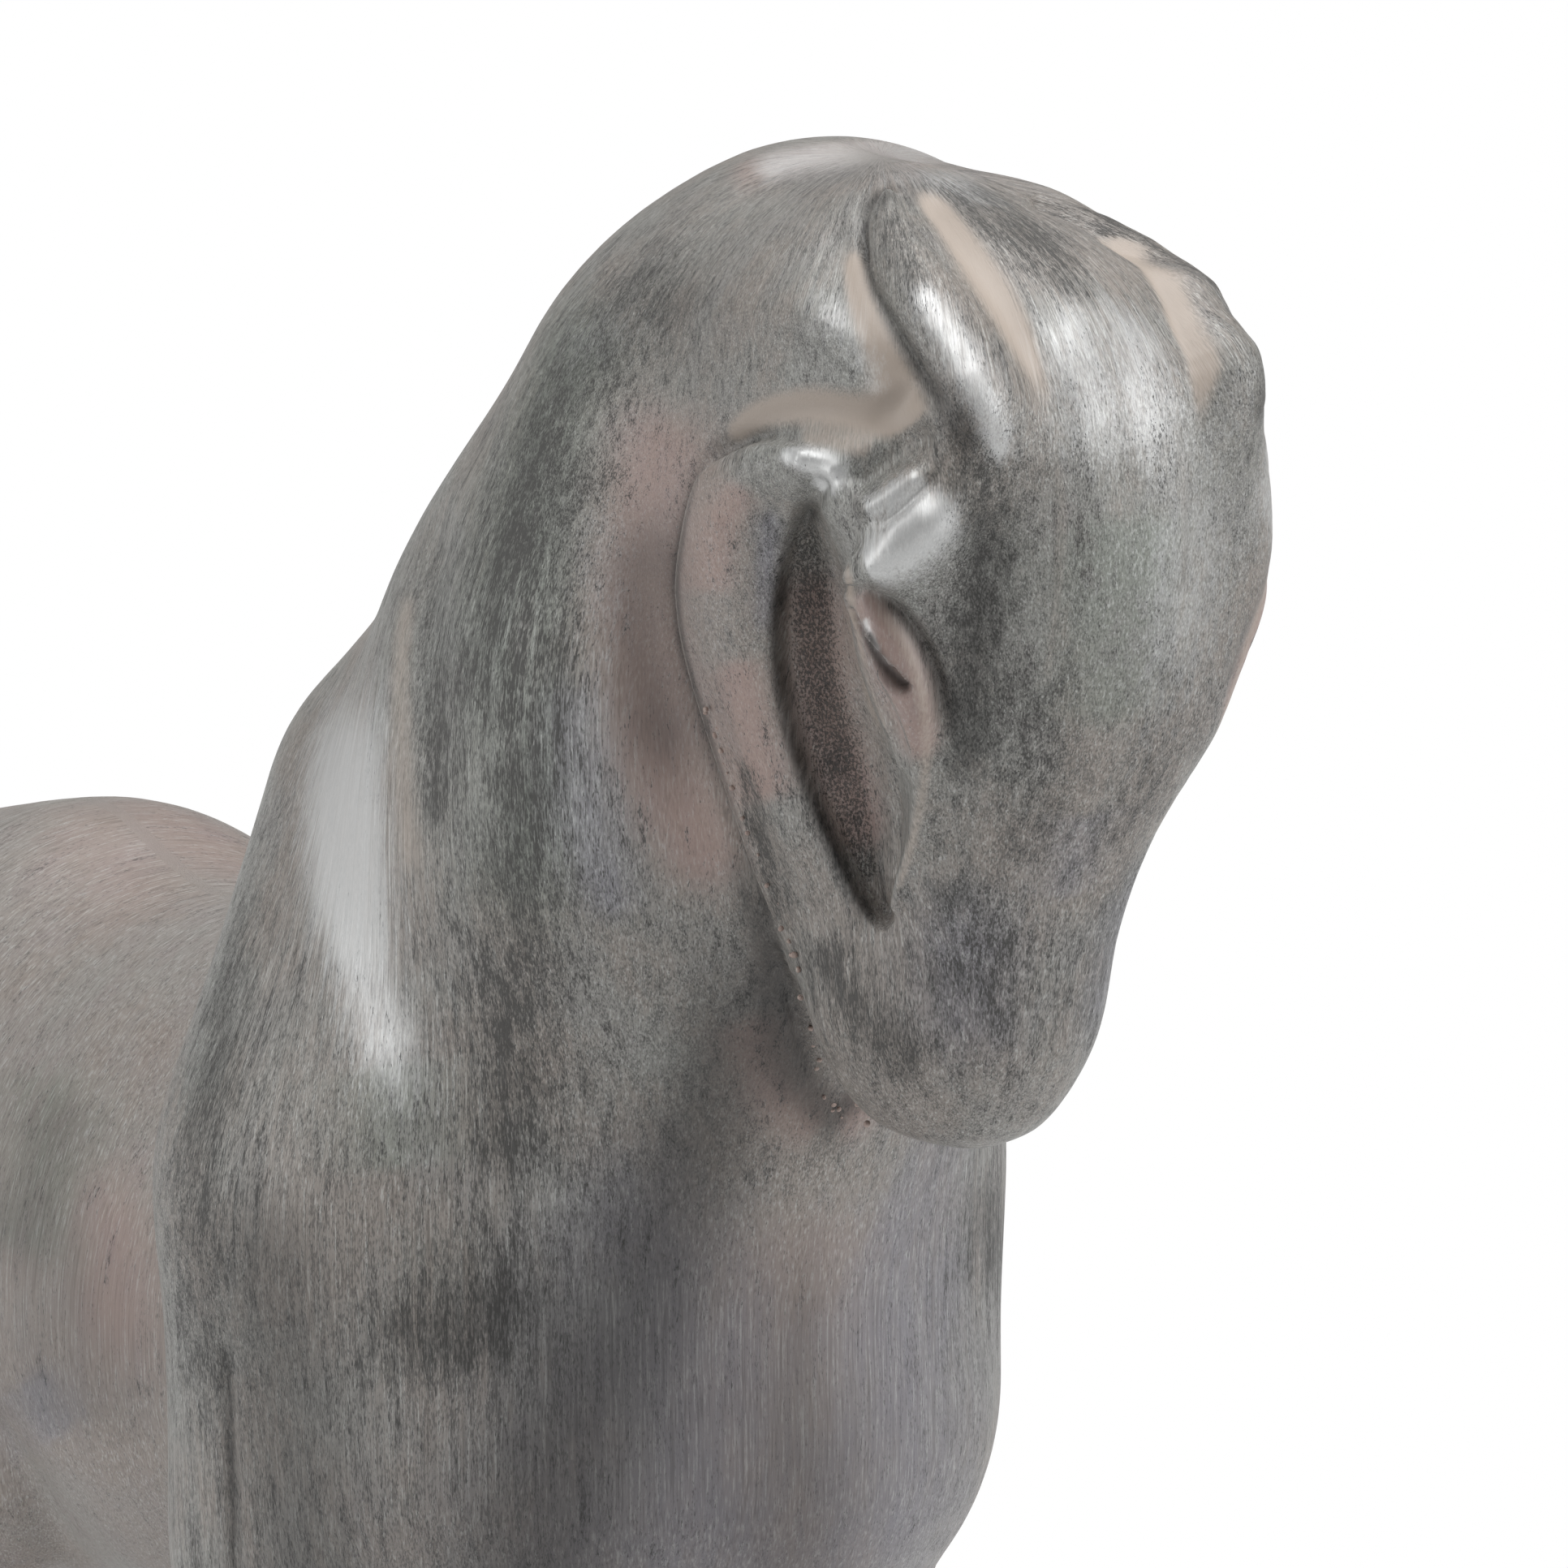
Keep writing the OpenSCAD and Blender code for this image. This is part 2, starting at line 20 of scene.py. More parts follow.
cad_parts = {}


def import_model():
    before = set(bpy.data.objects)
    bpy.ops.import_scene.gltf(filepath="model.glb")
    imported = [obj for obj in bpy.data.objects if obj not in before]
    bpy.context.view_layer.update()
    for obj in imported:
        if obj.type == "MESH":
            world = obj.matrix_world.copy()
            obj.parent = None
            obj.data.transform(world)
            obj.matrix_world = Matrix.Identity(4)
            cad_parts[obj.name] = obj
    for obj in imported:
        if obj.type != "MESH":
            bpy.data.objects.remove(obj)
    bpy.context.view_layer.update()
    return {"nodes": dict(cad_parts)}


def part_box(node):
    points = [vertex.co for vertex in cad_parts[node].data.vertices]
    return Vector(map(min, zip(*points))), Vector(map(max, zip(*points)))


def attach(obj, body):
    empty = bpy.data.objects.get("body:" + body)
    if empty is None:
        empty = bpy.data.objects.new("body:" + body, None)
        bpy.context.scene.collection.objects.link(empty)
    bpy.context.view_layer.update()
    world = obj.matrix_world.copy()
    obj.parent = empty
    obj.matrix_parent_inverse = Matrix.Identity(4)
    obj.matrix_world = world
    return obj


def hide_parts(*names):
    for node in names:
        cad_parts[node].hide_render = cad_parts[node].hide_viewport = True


LOG = logging.getLogger("horse")
MM = 0.001
SAME_PLACE = 1e-6
TINY = 1e-9
FRONT_EDGE_MM = (15, 35)
HEAD_EDGE_MM = (112.5, 116)

Point = tuple[float, float]
Triple = tuple[float, float, float]


def smooth_step(low: float, high: float, value: np.ndarray) -> np.ndarray:
    """Eases from 0 at low to 1 at high."""
    t = np.clip((value - low) / (high - low), 0.0, 1.0)
    return t * t * (3.0 - 2.0 * t)


def linear(code: str) -> tuple[float, float, float, float]:
    """Turns a colour such as 8c827e, as it looks on a screen, into a shader colour."""
    parts = [int(code[i : i + 2], 16) / 255 for i in (0, 2, 4)]
    return (*[p / 12.92 if p <= 0.04045 else ((p + 0.055) / 1.055) ** 2.4 for p in parts], 1.0)


@dataclass(frozen=True)
class PhotoView:
    """The photograph's camera.

    Attributes:
        target: point in the middle of the picture.
        turn_deg: how far the camera stands to the right of the way that the horse faces.
        rise_deg: how far the camera looks down.
        distance: from the camera to the target.
        focal_px: focal length in pixels.
        frame_px: width and height of the picture.
    """

    target: Triple = (0.091, 0.0, 0.250)
    turn_deg: float = 30.0
    rise_deg: float = 12.0
    distance: float = 0.9
    focal_px: float = 9900.0
    frame_px: float = 1932.0

    def axes(self) -> tuple[np.ndarray, np.ndarray, np.ndarray]:
        """Works out how the camera is turned.

        Returns:
            The directions right, up and back towards the camera.
        """
        a, e = math.radians(self.turn_deg), math.radians(self.rise_deg)
        right = np.array([math.sin(a), math.cos(a), 0.0])
        up = np.array([-math.cos(a) * math.sin(e), math.sin(a) * math.sin(e), math.cos(e)])
        back = np.array([math.cos(a) * math.cos(e), -math.sin(a) * math.cos(e), math.sin(e)])
        return right, up, back

    def eye(self) -> np.ndarray:
        """Gives the place of the camera."""
        return np.array(self.target) + self.distance * self.axes()[2]

    def project(self, points: np.ndarray) -> np.ndarray:
        """Finds where points are in the picture.

        Args:
            points: an array of places, one per row.

        Returns:
            Their pixels, one pair per row.
        """
        right, up, back = self.axes()
        offset = points - self.eye()
        scale = self.focal_px / -(offset @ back)
        half = self.frame_px / 2
        return np.column_stack([half + scale * (offset @ right), half - scale * (offset @ up)])


class Profile(Enum):
    """Cross-section of a stroke of the modelling tool."""

    ROUND = "soft rib or groove"
    LEAF = "lens with a clear edge"
    STEP = "sharp on its line, fading away on one side"


class Zone(Enum):
    """Part of the figure that a stroke may touch."""

    HEAD = "in front of the head joint"
    NECK = "behind the head joint, in front of the barrel"
    FRONT = "head, neck, shoulders and chest"
    REAR = "barrel, haunches and hind legs"

    def mask(self, points: np.ndarray) -> np.ndarray:
        """Tells which places lie in the zone.

        Args:
            points: the places, one per row.

        Returns:
            1 inside and 0 outside, with soft edges, one number per place.
        """
        x = points[:, 0] / MM
        front = smooth_step(*FRONT_EDGE_MM, x)
        head = smooth_step(*HEAD_EDGE_MM, x)
        shares = {Zone.HEAD: head, Zone.NECK: front * (1 - head), Zone.FRONT: front, Zone.REAR: 1 - front}
        return shares[self]


@dataclass(frozen=True)
class Stroke:
    """One stroke of the modelling tool or the brush, drawn on the photograph and mirrored to the far side.

    Attributes:
        name: what the stroke makes.
        path: points of its line, each with the half width there, in pixels.
        rise: height in mm, or strength of the paint.
        profile: its cross-section.
        zone: what it may touch.
        side: for a step, 1 to raise the left of a line drawn downwards and -1 to raise the right.
        taper: shares of the line over which its start and its end fade.
        far: share of the rise that the far side gets where the photograph shows it. With a tiny rise and a
            large share, the stroke is for the far side alone.
        edge: for a step, half the width of its sharp side.
    """

    name: str
    path: tuple[Triple, ...]
    rise: float
    profile: Profile = Profile.ROUND
    zone: Zone = Zone.FRONT
    side: int = 1
    taper: tuple[float, float] = (0.15, 0.15)
    far: float = 1.0
    edge: float = 6.0

    def line(self, steps: int = 6, least: float = 0.5) -> np.ndarray:
        """Runs a smooth curve through the stroke's points.

        Args:
            steps: pieces between two points.
            least: smallest half width.

        Returns:
            Points with half widths, one per row.
        """
        p = np.array(self.path, float)
        if len(p) < 3:
            return p
        ends = np.vstack([2 * p[0] - p[1], p, 2 * p[-1] - p[-2]])
        t = np.linspace(0, 1, steps, endpoint=False)[:, None]
        runs = []
        for a, b, c, d in zip(ends, ends[1:], ends[2:], ends[3:]):
            bend = a - 2.5 * b + 2 * c - d / 2
            twist = (3 * b - 3 * c + d - a) / 2
            runs.append(b + t * ((c - a) / 2 + t * (bend + t * twist)))
        line = np.vstack([*runs, p[-1:]])
        line[:, 2] = np.maximum(line[:, 2], least)
        return line

    def height(self, pixels: np.ndarray) -> np.ndarray:
        """Works out the stroke's height at places in the picture.

        Args:
            pixels: places in the picture, one pair per row.

        Returns:
            One height per place, in the unit of rise.
        """
        line = self.line()
        best = np.full(len(pixels), np.inf)
        signed, along, width = np.zeros_like(best), np.zeros_like(best), np.ones_like(best)
        count = len(line) - 1
        for i in range(count):
            a, b = line[i], line[i + 1]
            run = b[:2] - a[:2]
            off = pixels - a[:2]
            t = np.clip(off @ run / max(run @ run, TINY), 0, 1)
            gap = np.linalg.norm(off - t[:, None] * run, axis=1)
            closer = gap < best
            best = np.where(closer, gap, best)
            turn = run[0] * off[:, 1] - run[1] * off[:, 0]
            signed = np.where(closer, np.sign(turn), signed)
            along = np.where(closer, (i + t) / count, along)
            width = np.where(closer, a[2] + t * (b[2] - a[2]), width)
        ease = np.ones_like(best)
        for share, way in zip(self.taper, (along, 1 - along)):
            if share > 0:
                ease *= smooth_step(0, share, way)
        share = best / width
        if self.profile is Profile.ROUND:
            shape = np.exp(-share * share)
        elif self.profile is Profile.LEAF:
            shape = np.clip(1 - share * share, 0, 1) ** 0.8
        else:
            over = self.side * signed * best
            shape = smooth_step(-self.edge, self.edge, over) * np.exp(-((np.maximum(over, 0) / width) ** 2))
        return self.rise * ease * shape


@dataclass(frozen=True)
class Lump:
    """A handful of clay pressed on both sides of the figure.

    Attributes:
        centre_mm: its middle, on the left side.
        radius_mm: its reach along X, Y and Z.
        rise_mm: its height.
    """

    centre_mm: Triple
    radius_mm: Triple
    rise_mm: float

    def height(self, points: np.ndarray) -> np.ndarray:
        """Works out the lump's height.

        Args:
            points: places, one per row.

        Returns:
            One height in mm per place.
        """
        p = points / MM
        p = np.column_stack([p[:, 0], np.abs(p[:, 1]), p[:, 2]])
        gap = (p - np.array(self.centre_mm)) / np.array(self.radius_mm)
        return self.rise_mm * np.exp(-(gap * gap).sum(1))


# Two coats hold painted light: the shade coat lays painted shade into creases and hollows besides dark
# paint, and the silver coat lays painted highlights besides silver rub.
class Wash(Enum):
    """A coat of the paint that is laid on in listed strokes, kept on the mesh under its name."""

    SAND = "sand"
    SOOT = "soot"
    SHADE_AND_DARK_PAINT = "shade_and_dark_paint"
    SILVER_AND_HIGHLIGHT = "silver_and_highlight"
    MOSS = "moss"
    DUSK = "dusk"
    ROSE = "rose"
    CRACKLE = "crackle"


FACE_STROKES = (
    Stroke("ear", ((1090, 238, 10), (1104, 300, 32), (1138, 362, 46), (1176, 420, 52), (1206, 475, 52),
           (1232, 532, 44), (1250, 600, 30)), 1.3, Profile.LEAF, taper=(0.02, 0.45)),
    Stroke("undercut of ear", ((1066, 262, 7), (1058, 300, 9), (1068, 345, 10), (1094, 395, 11),
           (1124, 446, 12), (1156, 486, 12), (1196, 530, 12)), -1.1, taper=(0.1, 0.35)),
    Stroke("furrow in front of ear", ((1112, 218, 14), (1158, 266, 20), (1206, 330, 24), (1246, 390, 24),
           (1274, 448, 24), (1296, 508, 24), (1310, 580, 22)), -1.1, taper=(0.15, 0.4), far=0.0),
    Stroke("far furrow", ((1122, 288, 16), (1150, 318, 24), (1183, 358, 28), (1208, 392, 28),
           (1232, 426, 28), (1254, 466, 26), (1274, 513, 24), (1286, 580, 20)), -0.022, taper=(0.15, 0.4),
           far=36),
    Stroke("far crown", ((1124, 222, 40), (1104, 238, 46), (1106, 265, 48), (1118, 300, 46),
           (1138, 345, 40), (1160, 390, 30)), -0.05, taper=(0.2, 0.3), far=46),
    Stroke("far contour", ((1183, 400, 60), (1190, 480, 70), (1156, 570, 84), (1130, 640, 96),
           (1118, 720, 104), (1118, 800, 104), (1140, 870, 100), (1165, 940, 90), (1190, 1020, 80),
           (1210, 1110, 60)), 0.036, zone=Zone.HEAD, taper=(0.12, 0.25), far=50),
    Stroke("tip of ear", ((1064, 326, 8), (1060, 285, 9), (1070, 252, 10), (1090, 234, 10), (1114, 228, 9)),
           -0.9, taper=(0.2, 0.3), far=0.0),
    Stroke("furrow behind ear", ((1048, 250, 18), (1038, 300, 26), (1046, 360, 32), (1070, 423, 34),
           (1100, 482, 34), (1134, 530, 30)), -1.5, taper=(0.2, 0.2)),
    Stroke("furrow above cheek", ((1138, 536, 26), (1066, 520, 30), (992, 512, 32), (930, 528, 30),
           (890, 560, 22), (872, 588, 14)), -1.6, taper=(0.2, 0.3)),
    Stroke("lower edge of neck ridge", ((800, 398, 60), (850, 402, 70), (922, 409, 76), (993, 416, 70),
           (1041, 432, 56), (1075, 456, 44), (1096, 492, 30)), 1.7, Profile.STEP, side=-1, taper=(0.5, 0.3),
           edge=28),
    Stroke("neck ridge", ((950, 322, 60), (1008, 366, 52), (1048, 414, 42), (1076, 462, 30),
           (1096, 500, 18)), 1.1, taper=(0.5, 0.15)),
    Stroke("cheek edge", ((1030, 562, 40), (985, 549, 60), (930, 545, 70), (893, 557, 80), (864, 592, 90),
           (847, 655, 100), (839, 720, 100), (846, 790, 100), (862, 850, 90), (890, 940, 80),
           (920, 1030, 70), (955, 1130, 60), (985, 1230, 50)), 1.5, Profile.STEP, Zone.HEAD, side=-1,
           taper=(0.08, 0.15), edge=7),
    Stroke("crease of cheek", ((1000, 545, 6), (930, 536, 8), (888, 550, 9), (856, 590, 10), (838, 655, 10),
           (830, 720, 10), (837, 792, 10), (853, 854, 10), (881, 944, 10), (912, 1034, 10), (946, 1134, 10),
           (976, 1234, 10), (992, 1300, 10), (1022, 1358, 9)), -0.9, taper=(0.1, 0.1)),
    Stroke("gouge", ((984, 616, 22), (967, 690, 54), (958, 760, 76), (959, 830, 88), (973, 900, 96),
           (996, 970, 90), (1026, 1040, 70), (1058, 1105, 42), (1088, 1152, 14)), -2.6, Profile.STEP,
           Zone.HEAD, side=-1, taper=(0.05, 0.05), far=0.3, edge=5),
    Stroke("floor of gouge", ((992, 650, 18), (1000, 720, 32), (1006, 790, 42), (1020, 870, 50),
           (1050, 950, 54), (1068, 1035, 42), (1082, 1110, 20)), -0.8, zone=Zone.HEAD, taper=(0.2, 0.2),
           far=0.3),
    Stroke("rim of gouge", ((1112, 872, 12), (1134, 945, 15), (1132, 1020, 15), (1114, 1080, 12),
           (1098, 1135, 8)), 1.2, zone=Zone.HEAD, taper=(0.25, 0.1), far=0.2),
    Stroke("fold in gouge", ((1088, 930, 7), (1094, 1020, 8), (1090, 1100, 7)), -0.6, zone=Zone.HEAD),
    Stroke("brow knob", ((1060, 698, 20), (1088, 692, 36), (1126, 664, 44), (1168, 624, 44),
           (1218, 578, 38)), 3.4, zone=Zone.HEAD, taper=(0.04, 0.4), far=0.1),
    Stroke("upper fold of knob", ((1050, 640, 12), (1084, 620, 18), (1122, 592, 18), (1156, 568, 14)), 1.2,
           zone=Zone.HEAD, taper=(0.2, 0.3), far=0.1),
    Stroke("crease of knob", ((1084, 654, 5), (1116, 630, 7), (1146, 598, 7), (1166, 572, 6)), -0.6,
           zone=Zone.HEAD, taper=(0.3, 0.3), far=0.1),
    Stroke("far lid", ((1030, 640, 60), (1056, 720, 80), (1086, 800, 80), (1110, 900, 60)), 0.048,
           zone=Zone.HEAD, taper=(0.45, 0.45), far=36),
    Stroke("hollow above knob", ((1036, 602, 16), (1074, 576, 22), (1116, 546, 24), (1164, 522, 22)), -1.8,
           zone=Zone.HEAD, taper=(0.2, 0.3), far=0.2),
    Stroke("valley of temple", ((1216, 600, 36), (1208, 700, 44), (1202, 830, 44), (1198, 960, 36)), -0.9,
           zone=Zone.HEAD, taper=(0.3, 0.4), far=0.2),
    Stroke("fold under brow", ((1052, 712, 7), (1085, 732, 10), (1122, 772, 11), (1144, 812, 11),
           (1159, 860, 11), (1165, 930, 11)), -1.0, zone=Zone.HEAD, taper=(0.1, 0.3), far=0.1),
    Stroke("eye lids", ((1052, 712, 10), (1078, 762, 26), (1106, 818, 34), (1128, 872, 28),
           (1144, 932, 14)), 1.4, Profile.LEAF, Zone.HEAD, taper=(0.1, 0.2), far=0.1),
    Stroke("eye slit", ((1056, 744, 4), (1068, 780, 10), (1088, 814, 14), (1108, 838, 12), (1128, 846, 5)),
           -1.9, Profile.LEAF, Zone.HEAD, taper=(0.1, 0.1), far=0.1),
    Stroke("eyeball", ((1072, 772, 6), (1088, 802, 8), (1102, 824, 6)), 0.9, zone=Zone.HEAD, far=0.1),
    Stroke("lower lid", ((1044, 690, 7), (1049, 750, 8), (1058, 812, 8), (1077, 870, 9), (1103, 926, 9),
           (1122, 968, 9)), 0.9, zone=Zone.HEAD, far=0.1),
    Stroke("shiny fold", ((984, 570, 12), (1012, 574, 16), (1036, 584, 12)), 0.6, zone=Zone.HEAD,
           taper=(0.2, 0.2)),
    Stroke("pit at top of gouge", ((1006, 598, 14), (994, 626, 12)), -1.2, zone=Zone.HEAD, taper=(0, 0)),
    Stroke("forelock", ((1130, 215, 40), (1225, 275, 60), (1320, 370, 80), (1366, 490, 90), (1382, 650, 90),
           (1376, 800, 80), (1362, 960, 60)), 0.7, taper=(0.2, 0.4)),
)
BODY_STROKES = (
    Stroke("shoulder groove", ((548, 580, 30), (520, 690, 36), (512, 800, 40), (516, 900, 42),
           (530, 1000, 44), (556, 1120, 46)), -1.6, zone=Zone.NECK, taper=(0.2, 0.5)),
    Stroke("crease of foreleg", ((270, 1600, 6), (281, 1700, 7), (285, 1820, 7), (288, 1960, 7)), -0.6,
           zone=Zone.NECK, taper=(0.4, 0)),
    Stroke("flank fold", ((-60, 1735, 26), (0, 1788, 26), (85, 1932, 26), (120, 2020, 26)), -1.8,
           zone=Zone.REAR),
)
LUMPS = (Lump((-52, 12, 121), (20, 18, 10), 2.2), Lump((98, 0, 322), (25, 25, 12), 0.8))


WASHES: dict[Wash, tuple[Stroke, ...]] = {
    Wash.SAND: (
        Stroke("furrow in front of ear", ((1116, 222, 12), (1158, 266, 20), (1204, 330, 24),
               (1242, 388, 22), (1270, 445, 19), (1290, 500, 14), (1300, 550, 8)), 0.9, taper=(0.15, 0.45),
               far=0.0),
        Stroke("far furrow", ((1112, 300, 12), (1138, 332, 15), (1186, 362, 14), (1212, 397, 13),
               (1238, 432, 13), (1256, 471, 13), (1269, 501, 12), (1280, 545, 11), (1292, 600, 8)), 0.02,
               taper=(0.1, 0.35), far=42),
        Stroke("trail of furrow", ((1300, 540, 10), (1308, 640, 12), (1300, 760, 12), (1284, 880, 14)),
               0.3),
        Stroke("furrow behind ear", ((1050, 290, 12), (1058, 360, 18), (1084, 430, 26), (1112, 490, 28),
               (1130, 532, 22)), 0.9),
        Stroke("above cheek", ((1132, 530, 22), (1066, 512, 28), (992, 500, 26), (930, 515, 20),
               (890, 552, 12)), 0.85),
        Stroke("below lip", ((980, 540, 12), (1030, 548, 16), (1080, 560, 18)), 0.4),
        Stroke("lower lid", ((1042, 670, 7), (1049, 750, 8), (1058, 800, 8), (1074, 865, 8),
               (1100, 930, 8)), 0.6, zone=Zone.HEAD),
        Stroke("upper lid", ((1066, 730, 8), (1100, 772, 12), (1130, 830, 14), (1142, 920, 12),
               (1132, 1000, 11), (1114, 1072, 9), (1098, 1125, 7)), 0.45, zone=Zone.HEAD),
        Stroke("shoulder groove", ((505, 700, 16), (494, 820, 20), (496, 960, 24), (512, 1120, 28)), 0.45),
    ),
    Wash.SOOT: (
        Stroke("upper neck", ((900, 330, 50), (800, 380, 60), (720, 440, 55), (660, 540, 46),
               (620, 680, 42), (600, 820, 38), (600, 1000, 38)), 0.4),
        Stroke("middle of neck", ((740, 520, 50), (700, 680, 60), (690, 850, 60), (690, 1000, 50)), 0.3),
        Stroke("edge of neck", ((560, 620, 18), (545, 760, 20), (540, 900, 22), (545, 1050, 24)), 0.45),
        Stroke("lower neck", ((650, 900, 50), (640, 1100, 56), (630, 1300, 64), (640, 1480, 64)), 0.4),
        Stroke("dark patch", ((420, 1710, 40), (510, 1650, 70), (610, 1600, 90), (730, 1530, 60)), 0.45,
               taper=(0.4, 0.4)),
        Stroke("temple", ((1165, 500, 30), (1200, 560, 40), (1215, 660, 44), (1202, 780, 46),
               (1195, 900, 40), (1185, 990, 30)), 0.4, zone=Zone.HEAD, far=0.2),
        Stroke("edge of shoulder", ((310, 1040, 30), (266, 1250, 36), (250, 1420, 42), (240, 1600, 46),
               (270, 1800, 40)), 0.35),
        Stroke("jaw", ((1005, 1140, 26), (1035, 1220, 32), (1085, 1280, 36), (1150, 1330, 40)), 0.45,
               zone=Zone.HEAD),
        Stroke("muzzle", ((1180, 1060, 60), (1200, 1180, 70), (1260, 1280, 70)), 0.25, zone=Zone.HEAD),
        Stroke("edge of jaw", ((912, 920, 12), (930, 1000, 14), (950, 1080, 14), (968, 1150, 14)), 0.5),
        Stroke("cheek", ((905, 580, 24), (880, 660, 20), (866, 740, 16), (880, 840, 16)), 0.1,
               zone=Zone.HEAD),
        Stroke("foot of cheek", ((925, 940, 20), (960, 1040, 26), (1000, 1130, 26)), 0.05, zone=Zone.HEAD),
        Stroke("crown", ((900, 230, 26), (1010, 215, 24), (1130, 215, 24), (1210, 250, 28), (1300, 320, 28),
               (1356, 390, 22)), 0.45),
        Stroke("ear", ((1088, 262, 20), (1112, 320, 20), (1150, 400, 14)), 0.4),
        Stroke("edge of forelock", ((1302, 420, 12), (1326, 520, 16), (1336, 640, 20), (1330, 780, 24),
               (1310, 900, 24)), 0.2),
        Stroke("side of face", ((1290, 800, 40), (1280, 950, 50), (1270, 1080, 50)), 0.25, zone=Zone.HEAD),
        Stroke("plain face", ((1390, 540, 90), (1400, 740, 110), (1390, 940, 100)), -0.18, zone=Zone.HEAD,
               taper=(0.3, 0.3)),
        Stroke("plain eye", ((1058, 720, 14), (1090, 790, 28), (1122, 860, 28), (1136, 940, 16)), -0.5,
               zone=Zone.HEAD),
        Stroke("plain neck", ((830, 560, 46), (800, 700, 50), (800, 850, 54), (840, 1000, 50),
               (890, 1120, 40)), -0.2),
        Stroke("plain chest", ((960, 1420, 120), (940, 1650, 180), (940, 1900, 220)), -0.25,
               taper=(0.2, 0.0)),
    ),
    # Painted shade in creases and hollows, in the eye slit, under the knob, along the jaw and on the chest
    # under the head; other strokes darken the tone, and the temple and the dark patch are dark paint.
    Wash.SHADE_AND_DARK_PAINT: (
        Stroke("back of ear", ((1064, 290, 8), (1074, 345, 10), (1106, 408, 13), (1140, 462, 17),
               (1178, 520, 24), (1212, 580, 30)), 0.75),
        Stroke("tip of ear", ((1080, 240, 16), (1092, 290, 22)), 0.35, taper=(0, 0.3)),
        Stroke("rim of ear", ((1070, 336, 6), (1066, 290, 7), (1074, 256, 8), (1094, 240, 8),
               (1116, 238, 7)), 0.7, far=0.2),
        Stroke("barrel", ((60, 1440, 90), (90, 1580, 100), (70, 1780, 110)), 0.3, zone=Zone.REAR,
               taper=(0.5, 0.1)),
        Stroke("temple", ((1205, 580, 36), (1214, 680, 40), (1200, 790, 44), (1192, 900, 38),
               (1180, 990, 28)), 0.55, zone=Zone.HEAD, far=0.1),
        Stroke("under knob", ((1062, 716, 9), (1092, 734, 13), (1130, 782, 16), (1156, 836, 16),
               (1170, 910, 18)), 0.5, zone=Zone.HEAD),
        Stroke("above knob", ((1060, 614, 10), (1096, 584, 14), (1136, 562, 14)), 0.3, zone=Zone.HEAD),
        Stroke("wall of gouge", ((972, 660, 9), (958, 740, 11), (958, 820, 12), (972, 900, 12),
               (1000, 980, 12), (1034, 1060, 13), (1066, 1120, 14), (1092, 1152, 12)), 0.95,
               zone=Zone.HEAD),
        Stroke("eye", ((1062, 766, 4), (1082, 808, 8), (1108, 838, 9), (1124, 846, 5)), 1.0,
               zone=Zone.HEAD),
        Stroke("floor of gouge", ((996, 660, 22), (1004, 760, 36), (1014, 850, 40), (1030, 920, 34),
               (1050, 980, 20)), 0.5, zone=Zone.HEAD),
        Stroke("throat", ((885, 990, 14), (915, 1080, 22), (945, 1160, 28), (964, 1240, 34),
               (985, 1320, 38), (1040, 1390, 38), (1130, 1430, 34), (1220, 1430, 26)), 0.8, zone=Zone.NECK,
               taper=(0.2, 0.1)),
        Stroke("front of neck", ((870, 1060, 40), (890, 1200, 70), (880, 1340, 90), (830, 1490, 120),
               (760, 1650, 140), (690, 1820, 150), (650, 1980, 150)), 0.8, taper=(0.3, 0.0), far=0.2),
        Stroke("chest", ((1060, 1440, 70), (1050, 1640, 110), (1010, 1840, 160), (990, 1990, 180)), 0.65,
               taper=(0.3, 0.0)),
        Stroke("far ear", ((1150, 400, 40), (1190, 470, 46), (1220, 540, 40)), 0.02, far=8.0),
        Stroke("neck beside cheek", ((830, 560, 46), (798, 680, 62), (790, 800, 68), (818, 920, 64),
               (866, 1050, 48)), 0.7, taper=(0.3, 0.3)),
        Stroke("middle of neck", ((740, 500, 50), (690, 620, 60), (680, 760, 60)), 0.25, taper=(0.4, 0.4)),
        Stroke("foot of shoulder", ((320, 1380, 60), (320, 1520, 90), (350, 1700, 100), (380, 1960, 100)),
               0.65, taper=(0.4, 0.0)),
        Stroke("pit", ((1006, 622, 11), (996, 642, 11)), 0.7, zone=Zone.HEAD, taper=(0, 0)),
        Stroke("fold in gouge", ((1088, 950, 6), (1094, 1030, 8), (1090, 1105, 8)), 0.3, zone=Zone.HEAD),
        Stroke("dark patch", ((450, 1690, 40), (530, 1640, 60), (620, 1600, 60), (700, 1560, 50)), 0.3,
               taper=(0.4, 0.4)),
        Stroke("edge of forelock", ((1296, 560, 7), (1304, 660, 8), (1300, 770, 8)), 0.35),
        Stroke("crease of foreleg", ((272, 1620, 5), (281, 1720, 7), (285, 1820, 7), (288, 1960, 7)), 0.5,
               taper=(0.4, 0)),
        Stroke("cheek line", ((884, 552, 5), (858, 590, 5), (841, 655, 5), (833, 720, 5), (840, 790, 5),
               (856, 850, 5), (884, 940, 5), (916, 1034, 5), (950, 1134, 5), (980, 1234, 5)), 0.6),
        Stroke("flank", ((-40, 1480, 60), (30, 1500, 50), (90, 1330, 50)), 0.3, zone=Zone.REAR),
    ),
    # Silver rub, and painted highlights on the shoulder band, knob, forelock, crown and funnel, a painted
    # glint on the eye and a lightened far face.
    Wash.SILVER_AND_HIGHLIGHT: (
        Stroke("ear", ((1118, 330, 18), (1160, 400, 26), (1196, 460, 28), (1222, 520, 26), (1240, 590, 18)),
               0.72, far=0.2),
        Stroke("brow knob", ((1062, 700, 22), (1096, 684, 40), (1140, 646, 44), (1192, 596, 32)), 1.0,
               zone=Zone.HEAD, taper=(0.1, 0.3), far=0.4),
